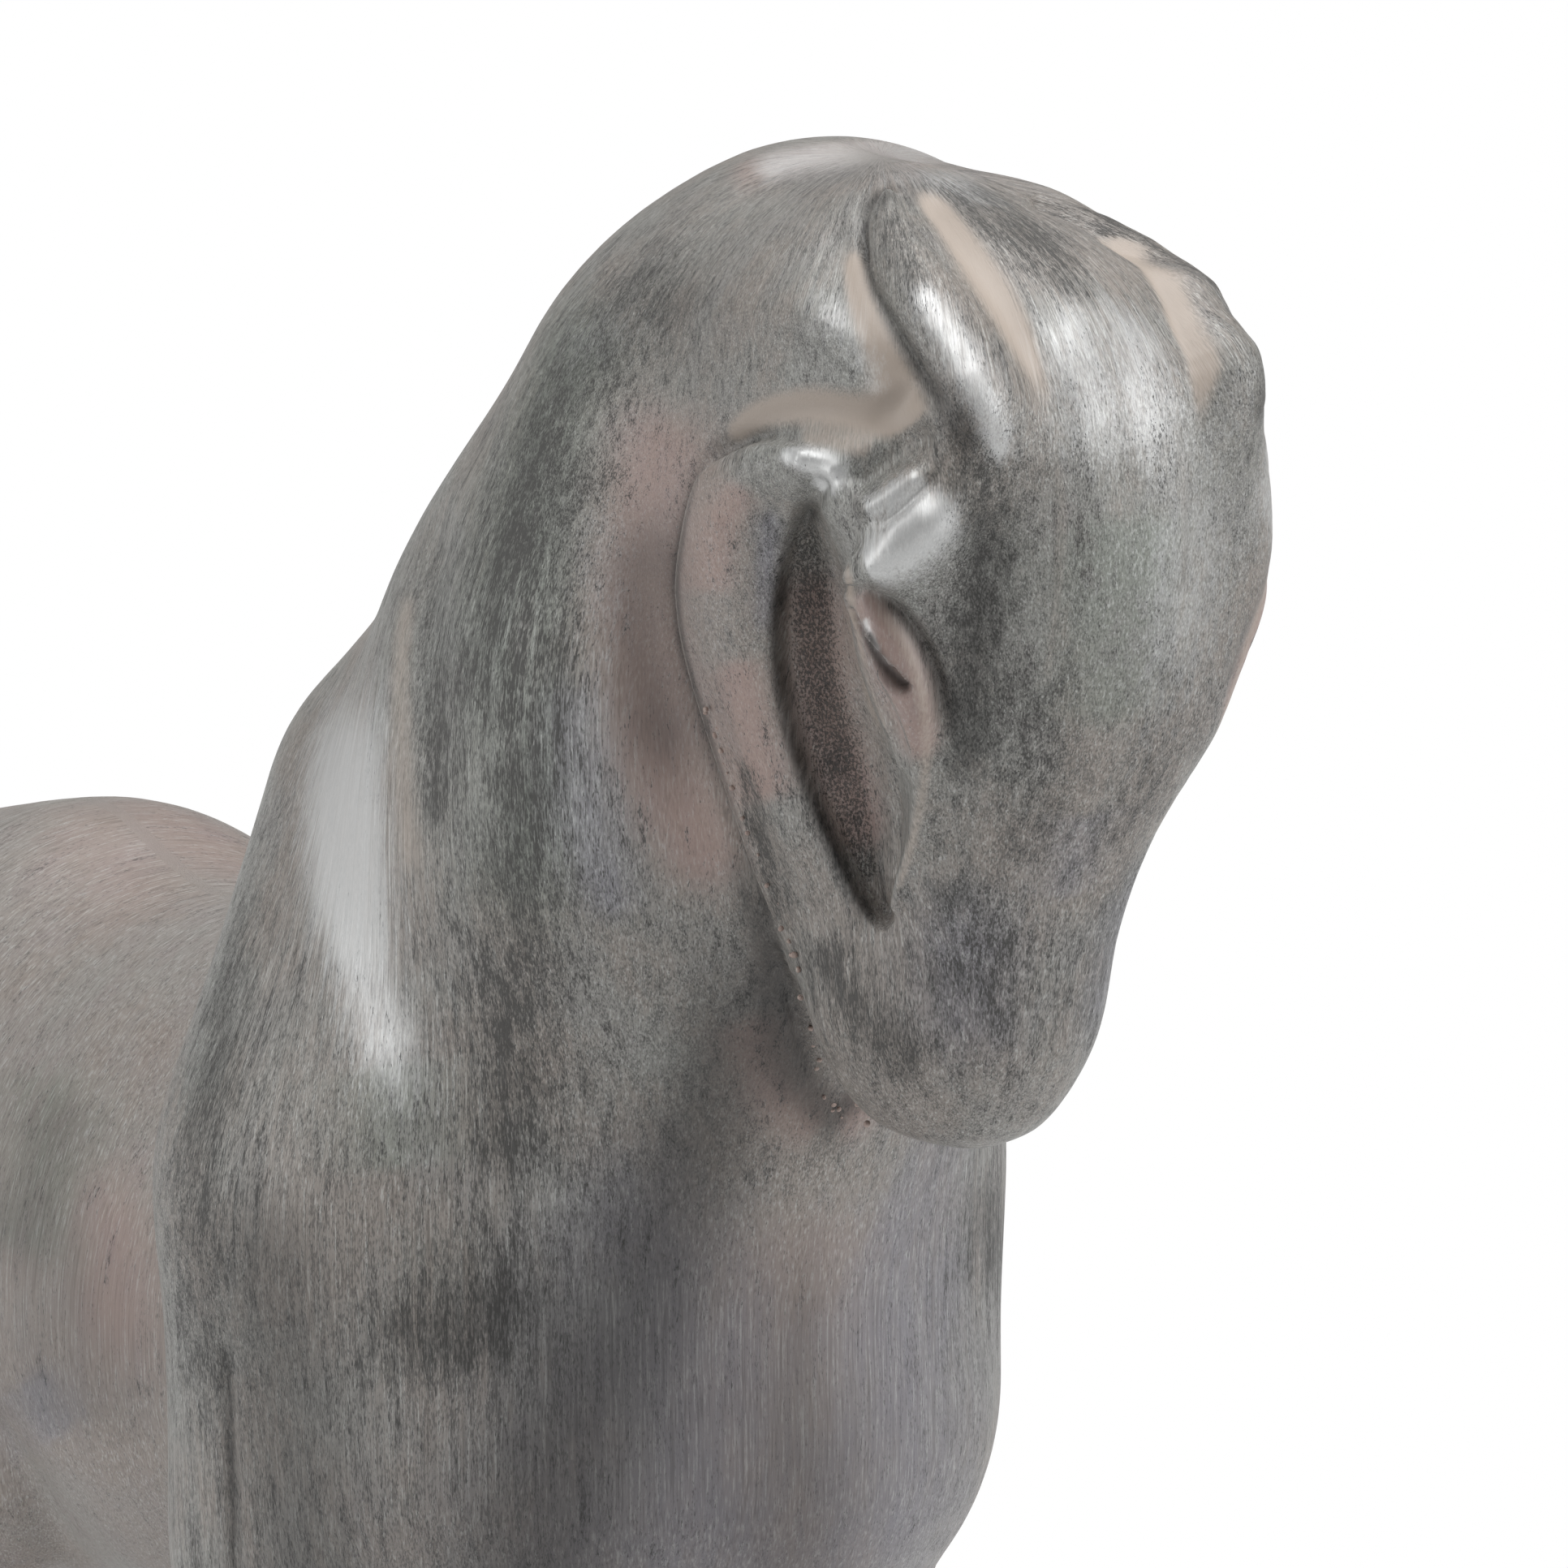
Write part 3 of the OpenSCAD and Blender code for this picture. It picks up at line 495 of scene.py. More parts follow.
        Stroke("forelock", ((1270, 330, 46), (1322, 430, 60), (1352, 530, 60), (1366, 650, 50)), 0.55,
               taper=(0.3, 0.4)),
        Stroke("far face", ((1310, 440, 90), (1300, 600, 120), (1294, 760, 130), (1290, 920, 120),
               (1280, 1060, 90)), 0.034, taper=(0.4, 0.45), far=11.0),
        Stroke("crown", ((900, 205, 30), (1020, 196, 36), (1150, 210, 28), (1260, 250, 24)), 0.6),
        Stroke("neck ridge", ((960, 330, 40), (1010, 370, 40), (1048, 416, 32), (1074, 462, 22),
               (1090, 492, 12)), 0.4, taper=(0.4, 0.1)),
        Stroke("upper fold of knob", ((1060, 630, 14), (1100, 608, 20), (1140, 580, 16)), 0.5,
               zone=Zone.HEAD),
        Stroke("funnel", ((952, 558, 8), (994, 566, 18), (1022, 582, 24), (1004, 608, 14)), 1.0,
               zone=Zone.HEAD),
        Stroke("glint of eye", ((1064, 758, 4), (1072, 784, 6), (1084, 806, 4)), 0.9, zone=Zone.HEAD),
        Stroke("cheek", ((880, 620, 24), (872, 720, 26), (884, 820, 24)), 0.2, zone=Zone.HEAD),
        Stroke("face", ((1390, 620, 70), (1400, 760, 80), (1390, 920, 70)), 0.12, zone=Zone.HEAD,
               taper=(0.3, 0.4)),
        Stroke("shoulder", ((462, 740, 30), (436, 870, 44), (424, 1000, 54), (434, 1120, 54),
               (454, 1230, 50), (480, 1340, 46), (502, 1450, 40)), 1.0, taper=(0.25, 0.6)),
        Stroke("foot of shoulder band", ((452, 1200, 60), (496, 1310, 70), (530, 1430, 60)), 0.25,
               taper=(0.45, 0.45)),
        Stroke("upper neck", ((860, 400, 40), (740, 410, 46), (660, 500, 40)), 0.25, taper=(0.4, 0.4)),
        Stroke("neck", ((740, 560, 50), (740, 800, 50), (720, 1000, 60), (730, 1100, 50)), 0.3),
    ),
    Wash.MOSS: (
        Stroke("neck", ((760, 330, 80), (680, 500, 80), (650, 700, 80), (660, 950, 90), (640, 1200, 90)),
               0.5),
        Stroke("face", ((1360, 620, 70), (1372, 760, 70), (1366, 920, 70)), 0.4, zone=Zone.HEAD),
        Stroke("shoulder", ((480, 1300, 80), (500, 1450, 80)), 0.4),
        Stroke("barrel", ((40, 1300, 70), (60, 1450, 80), (20, 1560, 70)), 0.5, zone=Zone.REAR),
    ),
    Wash.DUSK: (
        # Bluish, darker tone on the chest under the head, partly painted shadow.
        Stroke("chest", ((860, 1340, 70), (800, 1500, 120), (800, 1680, 200), (820, 1900, 260)), 0.4,
               taper=(0.4, 0.0)),
        Stroke("muzzle", ((1190, 1040, 60), (1180, 1140, 70), (1190, 1240, 70), (1210, 1340, 60)), 0.4,
               zone=Zone.HEAD, taper=(0.4, 0.3)),
        Stroke("face", ((1360, 1000, 70), (1350, 1120, 70)), 0.4, zone=Zone.HEAD),
        Stroke("cheek", ((950, 620, 16), (944, 700, 16), (938, 790, 14)), 0.4, zone=Zone.HEAD),
        Stroke("neck", ((700, 820, 36), (720, 1000, 46), (770, 1150, 36)), 0.4),
        Stroke("flank", ((20, 1700, 60), (70, 1780, 60)), 0.4, zone=Zone.REAR),
    ),
    Wash.ROSE: (
        Stroke("neck", ((850, 470, 60), (806, 590, 66), (786, 750, 74), (806, 900, 74), (852, 1020, 60),
               (900, 1130, 44)), 0.6),
        Stroke("throat", ((920, 1240, 46), (950, 1340, 46), (1020, 1400, 36)), 0.5),
        Stroke("chest", ((980, 1440, 120), (980, 1640, 200), (940, 1880, 260)), 0.25, taper=(0.3, 0.0)),
        Stroke("cheek", ((905, 800, 30), (925, 900, 36), (950, 1000, 34)), 0.6, zone=Zone.HEAD),
        Stroke("top of cheek", ((920, 590, 26), (884, 660, 30), (874, 740, 30)), 0.5, zone=Zone.HEAD),
        Stroke("gouge", ((996, 680, 24), (1006, 780, 36), (1018, 880, 40), (1050, 980, 36),
               (1074, 1070, 22)), 0.7, zone=Zone.HEAD),
        Stroke("eye lids", ((1052, 716, 14), (1082, 772, 28), (1110, 832, 34), (1130, 890, 28),
               (1138, 950, 18)), 0.7, zone=Zone.HEAD),
        Stroke("crest", ((880, 215, 36), (1030, 190, 32), (1160, 205, 24)), 0.4),
        Stroke("rump", ((0, 1010, 80), (120, 1040, 80), (240, 1120, 60)), 0.2, zone=Zone.REAR,
               taper=(0.4, 0.4)),
        Stroke("flank", ((150, 1380, 46), (140, 1560, 50), (150, 1740, 46)), 0.35, zone=Zone.REAR,
               taper=(0.4, 0.4)),
    ),
    Wash.CRACKLE: (
        Stroke("gouge", ((990, 630, 26), (1000, 730, 46), (1008, 830, 54), (1030, 930, 58),
               (1058, 1030, 36), (1084, 1110, 18)), 1.1, zone=Zone.HEAD, taper=(0.05, 0.1)),
    ),
}


def smoothed(points: np.ndarray, edges: np.ndarray, rounds: int, keep: bool = True) -> np.ndarray:
    """Rubs a surface smooth.

    Args:
        points: the surface's points, one per row.
        edges: pairs of points that are joined.
        rounds: how often to rub.
        keep: whether to swell it back after each rub, so that its bulk stays.

    Returns:
        The new points.
    """
    rub, swell = 0.5, -0.52
    count = len(points)
    first, second = edges[:, 0], edges[:, 1]
    degree = np.maximum(np.bincount(first, minlength=count) + np.bincount(second, minlength=count), 1)
    moved = points.copy()
    for _ in range(rounds):
        for rate in (rub, swell) if keep else (rub,):
            mean = np.column_stack([
                np.bincount(first, moved[second, k], count) + np.bincount(second, moved[first, k], count)
                for k in range(3)
            ]) / degree[:, None]
            moved += rate * (mean - moved)
    return moved


def read_all(items: bpy.types.bpy_prop_collection, key: str, width: int, kind: type = float) -> np.ndarray:
    """Reads one property of all items of a mesh.

    Args:
        items: the mesh's points, edges or the like.
        key: the property's name.
        width: how many numbers each item has.
        kind: type of the numbers.

    Returns:
        The numbers, one row per item.
    """
    values = np.empty(len(items) * width, kind)
    items.foreach_get(key, values)
    return values.reshape(-1, width)


def mesh_points(mesh: bpy.types.Mesh) -> np.ndarray:
    """Reads a mesh's points, one per row."""
    return read_all(mesh.vertices, "co", 3)


def mesh_normals(mesh: bpy.types.Mesh) -> np.ndarray:
    """Reads the normals at a mesh's points, one per row."""
    return read_all(mesh.vertices, "normal", 3)


def mesh_edges(mesh: bpy.types.Mesh) -> np.ndarray:
    """Reads a mesh's edges as pairs of points."""
    return read_all(mesh.edges, "vertices", 2, np.int64)


def set_points(mesh: bpy.types.Mesh, points: np.ndarray) -> None:
    """Moves a mesh's points."""
    mesh.vertices.foreach_set("co", points.astype(np.float32).ravel())
    mesh.update()


def set_values(mesh: bpy.types.Mesh, name: str, values: np.ndarray) -> None:
    """Keeps one number, or one vector, per point on a mesh.

    Args:
        mesh: the mesh.
        name: what they are kept under.
        values: one row per point.
    """
    kind, key = ("FLOAT", "value") if values.ndim == 1 else ("FLOAT_VECTOR", "vector")
    layer = mesh.attributes.get(name) or mesh.attributes.new(name, kind, "POINT")
    layer.data.foreach_set(key, values.astype(np.float32).ravel())


def new_mesh(bm: bmesh.types.BMesh, name: str) -> bpy.types.Mesh:
    """Turns an edited shape into a mesh.

    Args:
        bm: the shape, which is freed.
        name: the mesh's name.

    Returns:
        The mesh.
    """
    mesh = bpy.data.meshes.new(name)
    bm.to_mesh(mesh)
    bm.free()
    return mesh


def plain_mesh(holder: bpy.types.Object) -> bpy.types.Mesh:
    """Turns an object with modifiers into a plain mesh.

    Args:
        holder: the object, which is removed.

    Returns:
        The mesh.
    """
    bpy.context.scene.collection.objects.link(holder)
    depsgraph = bpy.context.evaluated_depsgraph_get()
    mesh = bpy.data.meshes.new_from_object(holder.evaluated_get(depsgraph))
    bpy.data.objects.remove(holder)
    return mesh


def even_skin(solids: Iterable[bpy.types.Object], voxel: float) -> bpy.types.Mesh:
    """Merges copies of solids into closed skins with an even grid.

    Args:
        solids: what to merge.
        voxel: size of the grid.

    Returns:
        The skins in one mesh.
    """
    bm = bmesh.new()
    for solid in solids:
        bm.from_mesh(solid.data)
    bmesh.ops.remove_doubles(bm, verts=bm.verts, dist=SAME_PLACE)
    holder = bpy.data.objects.new("raw_skin", new_mesh(bm, "raw_skin"))
    grid = holder.modifiers.new("grid", "REMESH")
    grid.mode = "VOXEL"
    grid.voxel_size = voxel
    return plain_mesh(holder)


def dress(name: str, mesh: bpy.types.Mesh, material: bpy.types.Material,
          nodes: Sequence[str] = ()) -> bpy.types.Object:
    """Turns a mesh into a piece of the figure.

    Args:
        name: the piece's name.
        mesh: its shape.
        material: its finish.
        nodes: the CAD nodes that it stands for.

    Returns:
        The piece.
    """
    mesh.name = name
    mesh.materials.clear()
    mesh.materials.append(material)
    piece = bpy.data.objects.new(name, mesh)
    bpy.context.scene.collection.objects.link(piece)
    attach(piece, "root")
    if nodes:
        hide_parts(*nodes)
    LOG.info("%s: %d points, %d faces", name, len(mesh.vertices), len(mesh.polygons))
    return piece


def grain(points: np.ndarray, size: Sequence[float], shift: float = 0.0) -> np.ndarray:
    """Gives a soft random height from -1 to 1 at each point.

    Args:
        points: places, one per row.
        size: length of the grain along each axis.
        shift: moves to another grain of the same kind.

    Returns:
        One height per point.
    """
    scaled = points / np.array(size) + shift
    return np.array([noise.noise(p) for p in scaled.tolist()])


def brush_space(points: np.ndarray) -> np.ndarray:
    """Unrolls the figure so that its brush strokes run along the third axis.

    Strokes fan out from the poll over head and neck, run from the spine down the flanks, and run down
    everywhere else.

    Args:
        points: places on the figure, one per row.

    Returns:
        Unrolled places, one per row.
    """
    poll_x, poll_z, trunk_z = 0.112, 0.262, 0.165
    trunk_x, neck_x, least = 0.02, 0.07, 1e-5
    x, y, z = points.T
    ahead = x - poll_x
    level = np.maximum(np.hypot(ahead, y), least)
    lift = np.maximum(z - poll_z, 0)
    reach = np.hypot(level, lift)
    head = np.column_stack([
        poll_x + ahead / level * reach,
        y / level * reach,
        np.minimum(z, poll_z) + reach * np.arctan2(lift, level),
    ])
    rise = np.maximum(z - trunk_z, 0)
    width = np.maximum(np.abs(y), least)
    girth = np.hypot(width, rise)
    trunk = np.column_stack([
        x,
        np.sign(y) * girth,
        np.minimum(z, trunk_z) + girth * np.arctan2(rise, width),
    ])
    share = smooth_step(trunk_x, neck_x, x)[:, None]
    return share * head + (1 - share) * trunk


@dataclass
class Sculptor:
    """Works strokes drawn on the photograph into a surface.

    Attributes:
        view: the photograph's camera.
        turned_away: how squarely a place faces away from the camera where it starts to count as hidden, and
            where it counts in full.
        middle_blend: width from the middle over which near strokes turn into far ones.
        reach: half widths after which a stroke is left out.
        margin_px: added to that reach.
    """

    view: PhotoView
    turned_away: Point = (0.5, 0.85)
    middle_blend: float = 5 * MM
    reach: float = 2.6
    margin_px: float = 12.0

    def near_side(self, points: np.ndarray, normals: np.ndarray) -> tuple[np.ndarray, np.ndarray]:
        """Folds the far side onto the near one.

        Args:
            points: places on the surface.
            normals: the surface's normals there.

        Returns:
            The places as pixels, and how squarely each faces the camera.
        """
        far = points[:, 1] > 0
        p, n = points.copy(), normals.copy()
        p[far, 1] *= -1
        n[far, 1] *= -1
        to_eye = self.view.eye() - p
        to_eye /= np.linalg.norm(to_eye, axis=1)[:, None]
        return self.view.project(p), (n * to_eye).sum(1)

    def heights(self, points: np.ndarray, normals: np.ndarray, strokes: Iterable[Stroke],
                fade: float) -> np.ndarray:
        """Adds up strokes.

        Args:
            points: places on the surface.
            normals: the surface's normals there.
            strokes: what to add up.
            fade: how squarely a place has to face the camera to get the full stroke.

        Returns:
            One sum per place.
        """
        pixels, facing = self.near_side(points, normals)
        seen = smooth_step(0.0, fade, facing)
        to_eye = self.view.eye() - points
        hidden = smooth_step(*self.turned_away, -(normals * to_eye).sum(1) / np.linalg.norm(to_eye, axis=1))
        total = np.zeros(len(points))
        for stroke in strokes:
            line = stroke.line()
            margin = self.reach * line[:, 2].max() + self.margin_px
            low, high = line[:, :2].min(0) - margin, line[:, :2].max(0) + margin
            near = ((pixels > low) & (pixels < high)).all(1) & (facing > 0)
            if near.any():
                across = smooth_step(0.0, self.middle_blend, points[near, 1]) * (1 - hidden[near])
                share = (1 + (stroke.far - 1) * across) * seen[near]
                total[near] += stroke.height(pixels[near]) * stroke.zone.mask(points[near]) * share
        return total


class Signal:
    """A shader value, on which Python's operators add Math nodes."""

    def __init__(self, board: "Board", socket: bpy.types.NodeSocket) -> None:
        """Wraps an output socket."""
        self.board = board
        self.socket = socket

    def __add__(self, other: "Signal | float") -> "Signal":
        """Adds."""
        return self.board.math("ADD", self, other)

    def __radd__(self, other: float) -> "Signal":
        """Adds from the right."""
        return self.board.math("ADD", other, self)

    def __sub__(self, other: "Signal | float") -> "Signal":
        """Subtracts."""
        return self.board.math("SUBTRACT", self, other)

    def __rsub__(self, other: float) -> "Signal":
        """Subtracts from a number."""
        return self.board.math("SUBTRACT", other, self)

    def __mul__(self, other: "Signal | float") -> "Signal":
        """Multiplies."""
        return self.board.math("MULTIPLY", self, other)

    def __rmul__(self, other: float) -> "Signal":
        """Multiplies from the right."""
        return self.board.math("MULTIPLY", other, self)

    def step(self, low: float, high: float) -> "Signal":
        """Eases from 0 at low to 1 at high."""
        return self.board.one(
            "ShaderNodeMapRange", {"interpolation_type": "SMOOTHSTEP"},
            {"Value": self, "From Min": low, "From Max": high},
        )


Value = Signal | float | tuple


class Board:
    """The node tree of one material or of the world."""

    def __init__(self, tree: bpy.types.NodeTree) -> None:
        """Clears a tree and keeps it."""
        self.tree = tree
        tree.nodes.clear()

    def node(self, kind: str, settings: dict | None = None, sockets: dict | None = None) -> bpy.types.Node:
        """Adds any node.

        Args:
            kind: the node's type.
            settings: its own properties, which are set first.
            sockets: values or links of its inputs, by name or number.

        Returns:
            The new node.
        """
        made = self.tree.nodes.new(kind)
        for key, value in (settings or {}).items():
            setattr(made, key, value)
        for key, value in (sockets or {}).items():
            source = value.socket if isinstance(value, Signal) else value
            if isinstance(source, bpy.types.NodeSocket):
                self.tree.links.new(source, made.inputs[key])
            else:
                made.inputs[key].default_value = value
        return made

    def one(self, kind: str, settings: dict | None = None, sockets: dict | None = None,
            output: int | str = 0) -> Signal:
        """Adds a node and gives one of its outputs as a signal."""
        return Signal(self, self.node(kind, settings, sockets).outputs[output])

    def math(self, operation: str, a: Signal | float, b: Signal | float) -> Signal:
        """Adds a Math node."""
        return self.one("ShaderNodeMath", {"operation": operation}, {0: a, 1: b})

    def mix(self, share: Signal | float, a: Value, b: Value) -> Signal:
        """Mixes two colours."""
        return self.one("ShaderNodeMix", {"data_type": "RGBA"}, {0: share, 6: a, 7: b}, 2)

    def stretched(self, vector: Signal, size_mm: Sequence[float]) -> Signal:
        """Divides a vector by a size in mm along each axis."""
        factors = tuple(1 / (s * MM) for s in size_mm)
        return self.one("ShaderNodeVectorMath", {"operation": "MULTIPLY"}, {0: vector, 1: factors})

    def noise(self, vector: Signal, size_mm: Sequence[float], detail: float = 2.0,
              rough: float = 0.5) -> Signal:
        """Gives a noise from 0 to 1 with grains of a size in mm along each axis."""
        return self.one(
            "ShaderNodeTexNoise", None,
            {"Vector": self.stretched(vector, size_mm), "Scale": 1.0, "Detail": detail, "Roughness": rough},
        )

    def place(self) -> Signal:
        """Gives the place on the piece."""
        return self.one("ShaderNodeTexCoord", output="Object")

    def kept(self, name: str, output: str = "Fac") -> Signal:
        """Reads what is kept on the mesh under a name."""
        return self.one("ShaderNodeAttribute", {"attribute_name": name, "attribute_type": "GEOMETRY"},
                        output=output)


class Finish:
    """A material with a bumpy skin. Each kind is a frozen dataclass with values of its own.

    Attributes:
        name: the material's name.
        bump_strength: how strongly its bumps show.
        bump_depth: how deep they are.
    """

    name: str
    bump_strength: float
    bump_depth: float

    def coats(self, b: Board) -> tuple[Signal, dict]:
        """Gives the skin's relief, and its other inputs by name."""
        raise NotImplementedError

    def build(self) -> bpy.types.Material:
        """Makes the material.

        Returns:
            The material.
        """
        material = bpy.data.materials.new(self.name)
        material.use_nodes = True
        b = Board(material.node_tree)
        relief, inputs = self.coats(b)
        bump = b.node("ShaderNodeBump", None,
                      {"Strength": self.bump_strength, "Distance": self.bump_depth, "Height": relief})
        skin = b.node("ShaderNodeBsdfPrincipled", None, {**inputs, "Normal": bump.outputs[0]})
        b.node("ShaderNodeOutputMaterial", None, {"Surface": skin.outputs[0]})
        return material


@dataclass(frozen=True)
class PaintFinish(Finish):
    """Layers of hand-brushed paint over a dark undercoat, rubbed with silver, with painted highlights and
    painted shade laid in.

    Sizes of brush marks are across, across and along the brush; colours are as they look on a screen.
    """

    name: str = "brushed_paint"
    undercoat: str = "2b2a28"
    # Tint multiplied in by the shade coat: painted shade, and dark paint on the hooves.
    shade_and_dark_tint: str = "7c7977"
    taupe: str = "7f7872"
    stone: str = "80817d"
    moss: str = "70776f"
    dusk: str = "74737a"
    rose: str = "8a766e"
    sand: str = "968b81"
    pale: str = "b3b5b2"
    # Colour of the silver rub and of painted highlights.
    silver_and_highlight: str = "c8c9c9"
    streak_mm: Triple = (1.1, 1.1, 22.0)
    bristle_mm: Triple = (0.28, 0.28, 14.0)
    dash_mm: Triple = (0.2, 0.2, 1.2)
    fleck_mm: Triple = (0.17, 0.17, 0.8)
    clump_mm: Triple = (1.5, 1.5, 4.5)
    cloud_mm: Triple = (26.0, 26.0, 34.0)
    patch_mm: Triple = (8.0, 8.0, 13.0)
    cracks_mm: Triple = (0.27, 0.27, 0.38)
    bump_strength: float = 0.45
    bump_depth: float = 0.2 * MM

    def coats(self, b: Board) -> tuple[Signal, dict]:
        """Lays coat over coat, from the broken ground to silver rub with painted highlights, wear and
        crackle, then darkens it with painted shade and dark paint.

        Args:
            b: the material's node tree.

        Returns:
            The skin's relief, and its other inputs by name.
        """
        flow, place = b.kept("brush", "Vector"), b.place()
        sand, soot, shade_and_dark_paint, silver_and_highlight, moss, dusk, rose, crackle = (b.kept(wash.value) for wash in Wash)

        streak = b.noise(flow, self.streak_mm, 3.0, 0.6)
        bristle = b.noise(flow, self.bristle_mm, 2.0, 0.6)
        dash = b.noise(flow, self.dash_mm, 3.0, 0.6)
        fleck = b.noise(flow, self.fleck_mm, 2.0, 0.6)
        clump = b.noise(flow, self.clump_mm, 3.0, 0.6)
        cloud = b.noise(place, self.cloud_mm, 3.0, 0.55)
        patch = b.noise(place, self.patch_mm, 4.0, 0.6)
        cracks = b.noise(place, self.cracks_mm, 3.0, 0.7)
        broken = 0.5 * (patch - 0.5) + 0.35 * (streak - 0.5)

        coat = b.mix((cloud + broken).step(0.35, 0.65), linear(self.taupe), linear(self.stone))
        for mask, tint in ((moss, self.moss), (rose, self.rose), (dusk, self.dusk)):
            coat = b.mix((mask + broken).step(0.1, 0.95), coat, linear(tint))
        drawn = 1 - 0.7 * rose
        dark_lines = (bristle * 0.7 + streak * 0.3).step(0.48, 0.33)
        coat = b.mix(dark_lines * 0.5 * drawn, coat, linear(self.undercoat))
        pale_lines = (bristle * 0.6 + dash * 0.4).step(0.5, 0.66)
        coat = b.mix(pale_lines * 0.6 * drawn, coat, linear(self.pale))

        speckle = 1.5 * fleck + 0.6 * (streak - 0.5) + 0.5 * (clump - 0.5) + 0.5 * soot - 0.3 * rose
        coat = b.mix(speckle.step(0.76, 1.0) * 0.55, coat, linear(self.undercoat))

        sandy = (sand + 0.25 * broken + 0.4 * (bristle - 0.5) + 0.2 * (dash - 0.5)).step(0.15, 0.75)
        coat = b.mix(sandy, coat, linear(self.sand))

        # Silver rub and painted highlights, lighter and more metallic.
        rubbed = (silver_and_highlight + 0.6 * (streak - 0.5) + 0.5 * (bristle - 0.5)).step(0.2, 1.0)
        coat = b.mix(rubbed * 0.68, coat, linear(self.silver_and_highlight))

        wear = (1.5 * dash + 0.6 * (streak - 0.5) + 0.5 * (clump - 0.5) + 0.4 * (patch - 0.5) + 0.5 * soot
                - 0.3 * sandy - 0.15 * rubbed)
        worn = wear.step(1.04, 1.2)
        coat = b.mix(worn * 0.8, coat, linear(self.undercoat))
        split = (cracks + (crackle - 1.0) * 0.5).step(0.43, 0.56)
        coat = b.mix(split * 0.85, coat, linear(self.undercoat))
        # Painted shade and dark paint, multiplied into the colour.
        coat = b.one("ShaderNodeMix", {"data_type": "RGBA", "blend_type": "MULTIPLY"},
                     {0: (shade_and_dark_paint + 0.6 * broken * shade_and_dark_paint).step(0.0, 1.1), 6: coat, 7: linear(self.shade_and_dark_tint)}, 2)

        relief = bristle * 0.35 + streak * 0.3 - worn * 0.5 - split * 0.9 + dash * 0.2
        return relief, {
            "Base Color": coat,
            "Roughness": 0.48 - 0.05 * rubbed + 0.12 * worn,
            "Metallic": rubbed * 0.5 * (1 - worn) + 0.1 - 0.1 * sandy,
            "Specular IOR Level": 0.5,
        }


@dataclass(frozen=True)
class SteelFinish(Finish):
    """Plain drawn steel of the hidden pins."""

    name: str = "drawn_steel"
    colour: str = "a9abae"
    scale: str = "7f7d7b"
    mottle_mm: Triple = (3.0, 3.0, 3.0)
    drawn_mm: Triple = (0.3, 0.3, 6.0)
    bump_strength: float = 0.2
    bump_depth: float = 0.1 * MM

    def coats(self, b: Board) -> tuple[Signal, dict]:
        """Mixes dull scale into bright metal with drawing marks.

        Args:
            b: the material's node tree.

        Returns:
            The skin's relief, and its other inputs by name.
        """
        place = b.place()
        mottle = b.noise(place, self.mottle_mm, 3.0)
        drawn = b.noise(place, self.drawn_mm)
        return drawn, {
            "Base Color": b.mix(mottle.step(0.4, 0.7), linear(self.colour), linear(self.scale)),
            "Roughness": 0.3 + 0.2 * drawn,
            "Metallic": 1.0,
        }


@dataclass(frozen=True)
class RubberFinish(Finish):
    """Dull moulded rubber of the belly plug."""

    name: str = "plug_rubber"
    colour: str = "343230"
    bloom: str = "4c4946"
    dust_mm: Triple = (4.0, 4.0, 4.0)
    pores_mm: Triple = (0.25, 0.25, 0.25)
    bump_strength: float = 0.25
    bump_depth: float = 0.15 * MM

    def coats(self, b: Board) -> tuple[Signal, dict]:
        """Lays a dusty bloom over porous rubber.

        Args:
            b: the material's node tree.

        Returns:
            The skin's relief, and its other inputs by name.
        """
        place = b.place()
        dust = b.noise(place, self.dust_mm, 4.0)
        pores = b.noise(place, self.pores_mm)
        return pores, {
            "Base Color": b.mix(dust.step(0.42, 0.7), linear(self.colour), linear(self.bloom)),
            "Roughness": 0.62 + 0.2 * dust,
        }


@dataclass(frozen=True)
class FeltFinish(Finish):
    """Pressed wool felt of the pads under the hooves."""

    name: str = "grey_felt"
    wool: str = "4a4643"
    fleck: str = "77716b"
    fibre_mm: Triple = (0.3, 0.9, 0.3)
    cross_mm: Triple = (0.9, 0.25, 0.3)
    bump_strength: float = 0.8
    bump_depth: float = 0.4 * MM

    def coats(self, b: Board) -> tuple[Signal, dict]:
        """Crosses two runs of fibres.

        Args:
            b: the material's node tree.

        Returns:
            The skin's relief, and its other inputs by name.
        """
        place = b.place()
        fibre = b.noise(place, self.fibre_mm, 4.0, 0.7)
        cross = b.noise(place, self.cross_mm, 4.0, 0.7)
        nap = fibre * 0.5 + cross * 0.5
        return nap, {
            "Base Color": b.mix(nap.step(0.42, 0.66), linear(self.wool), linear(self.fleck)),
            "Roughness": 0.85 + 0.1 * fibre,
            "Sheen Weight": 0.3,
        }


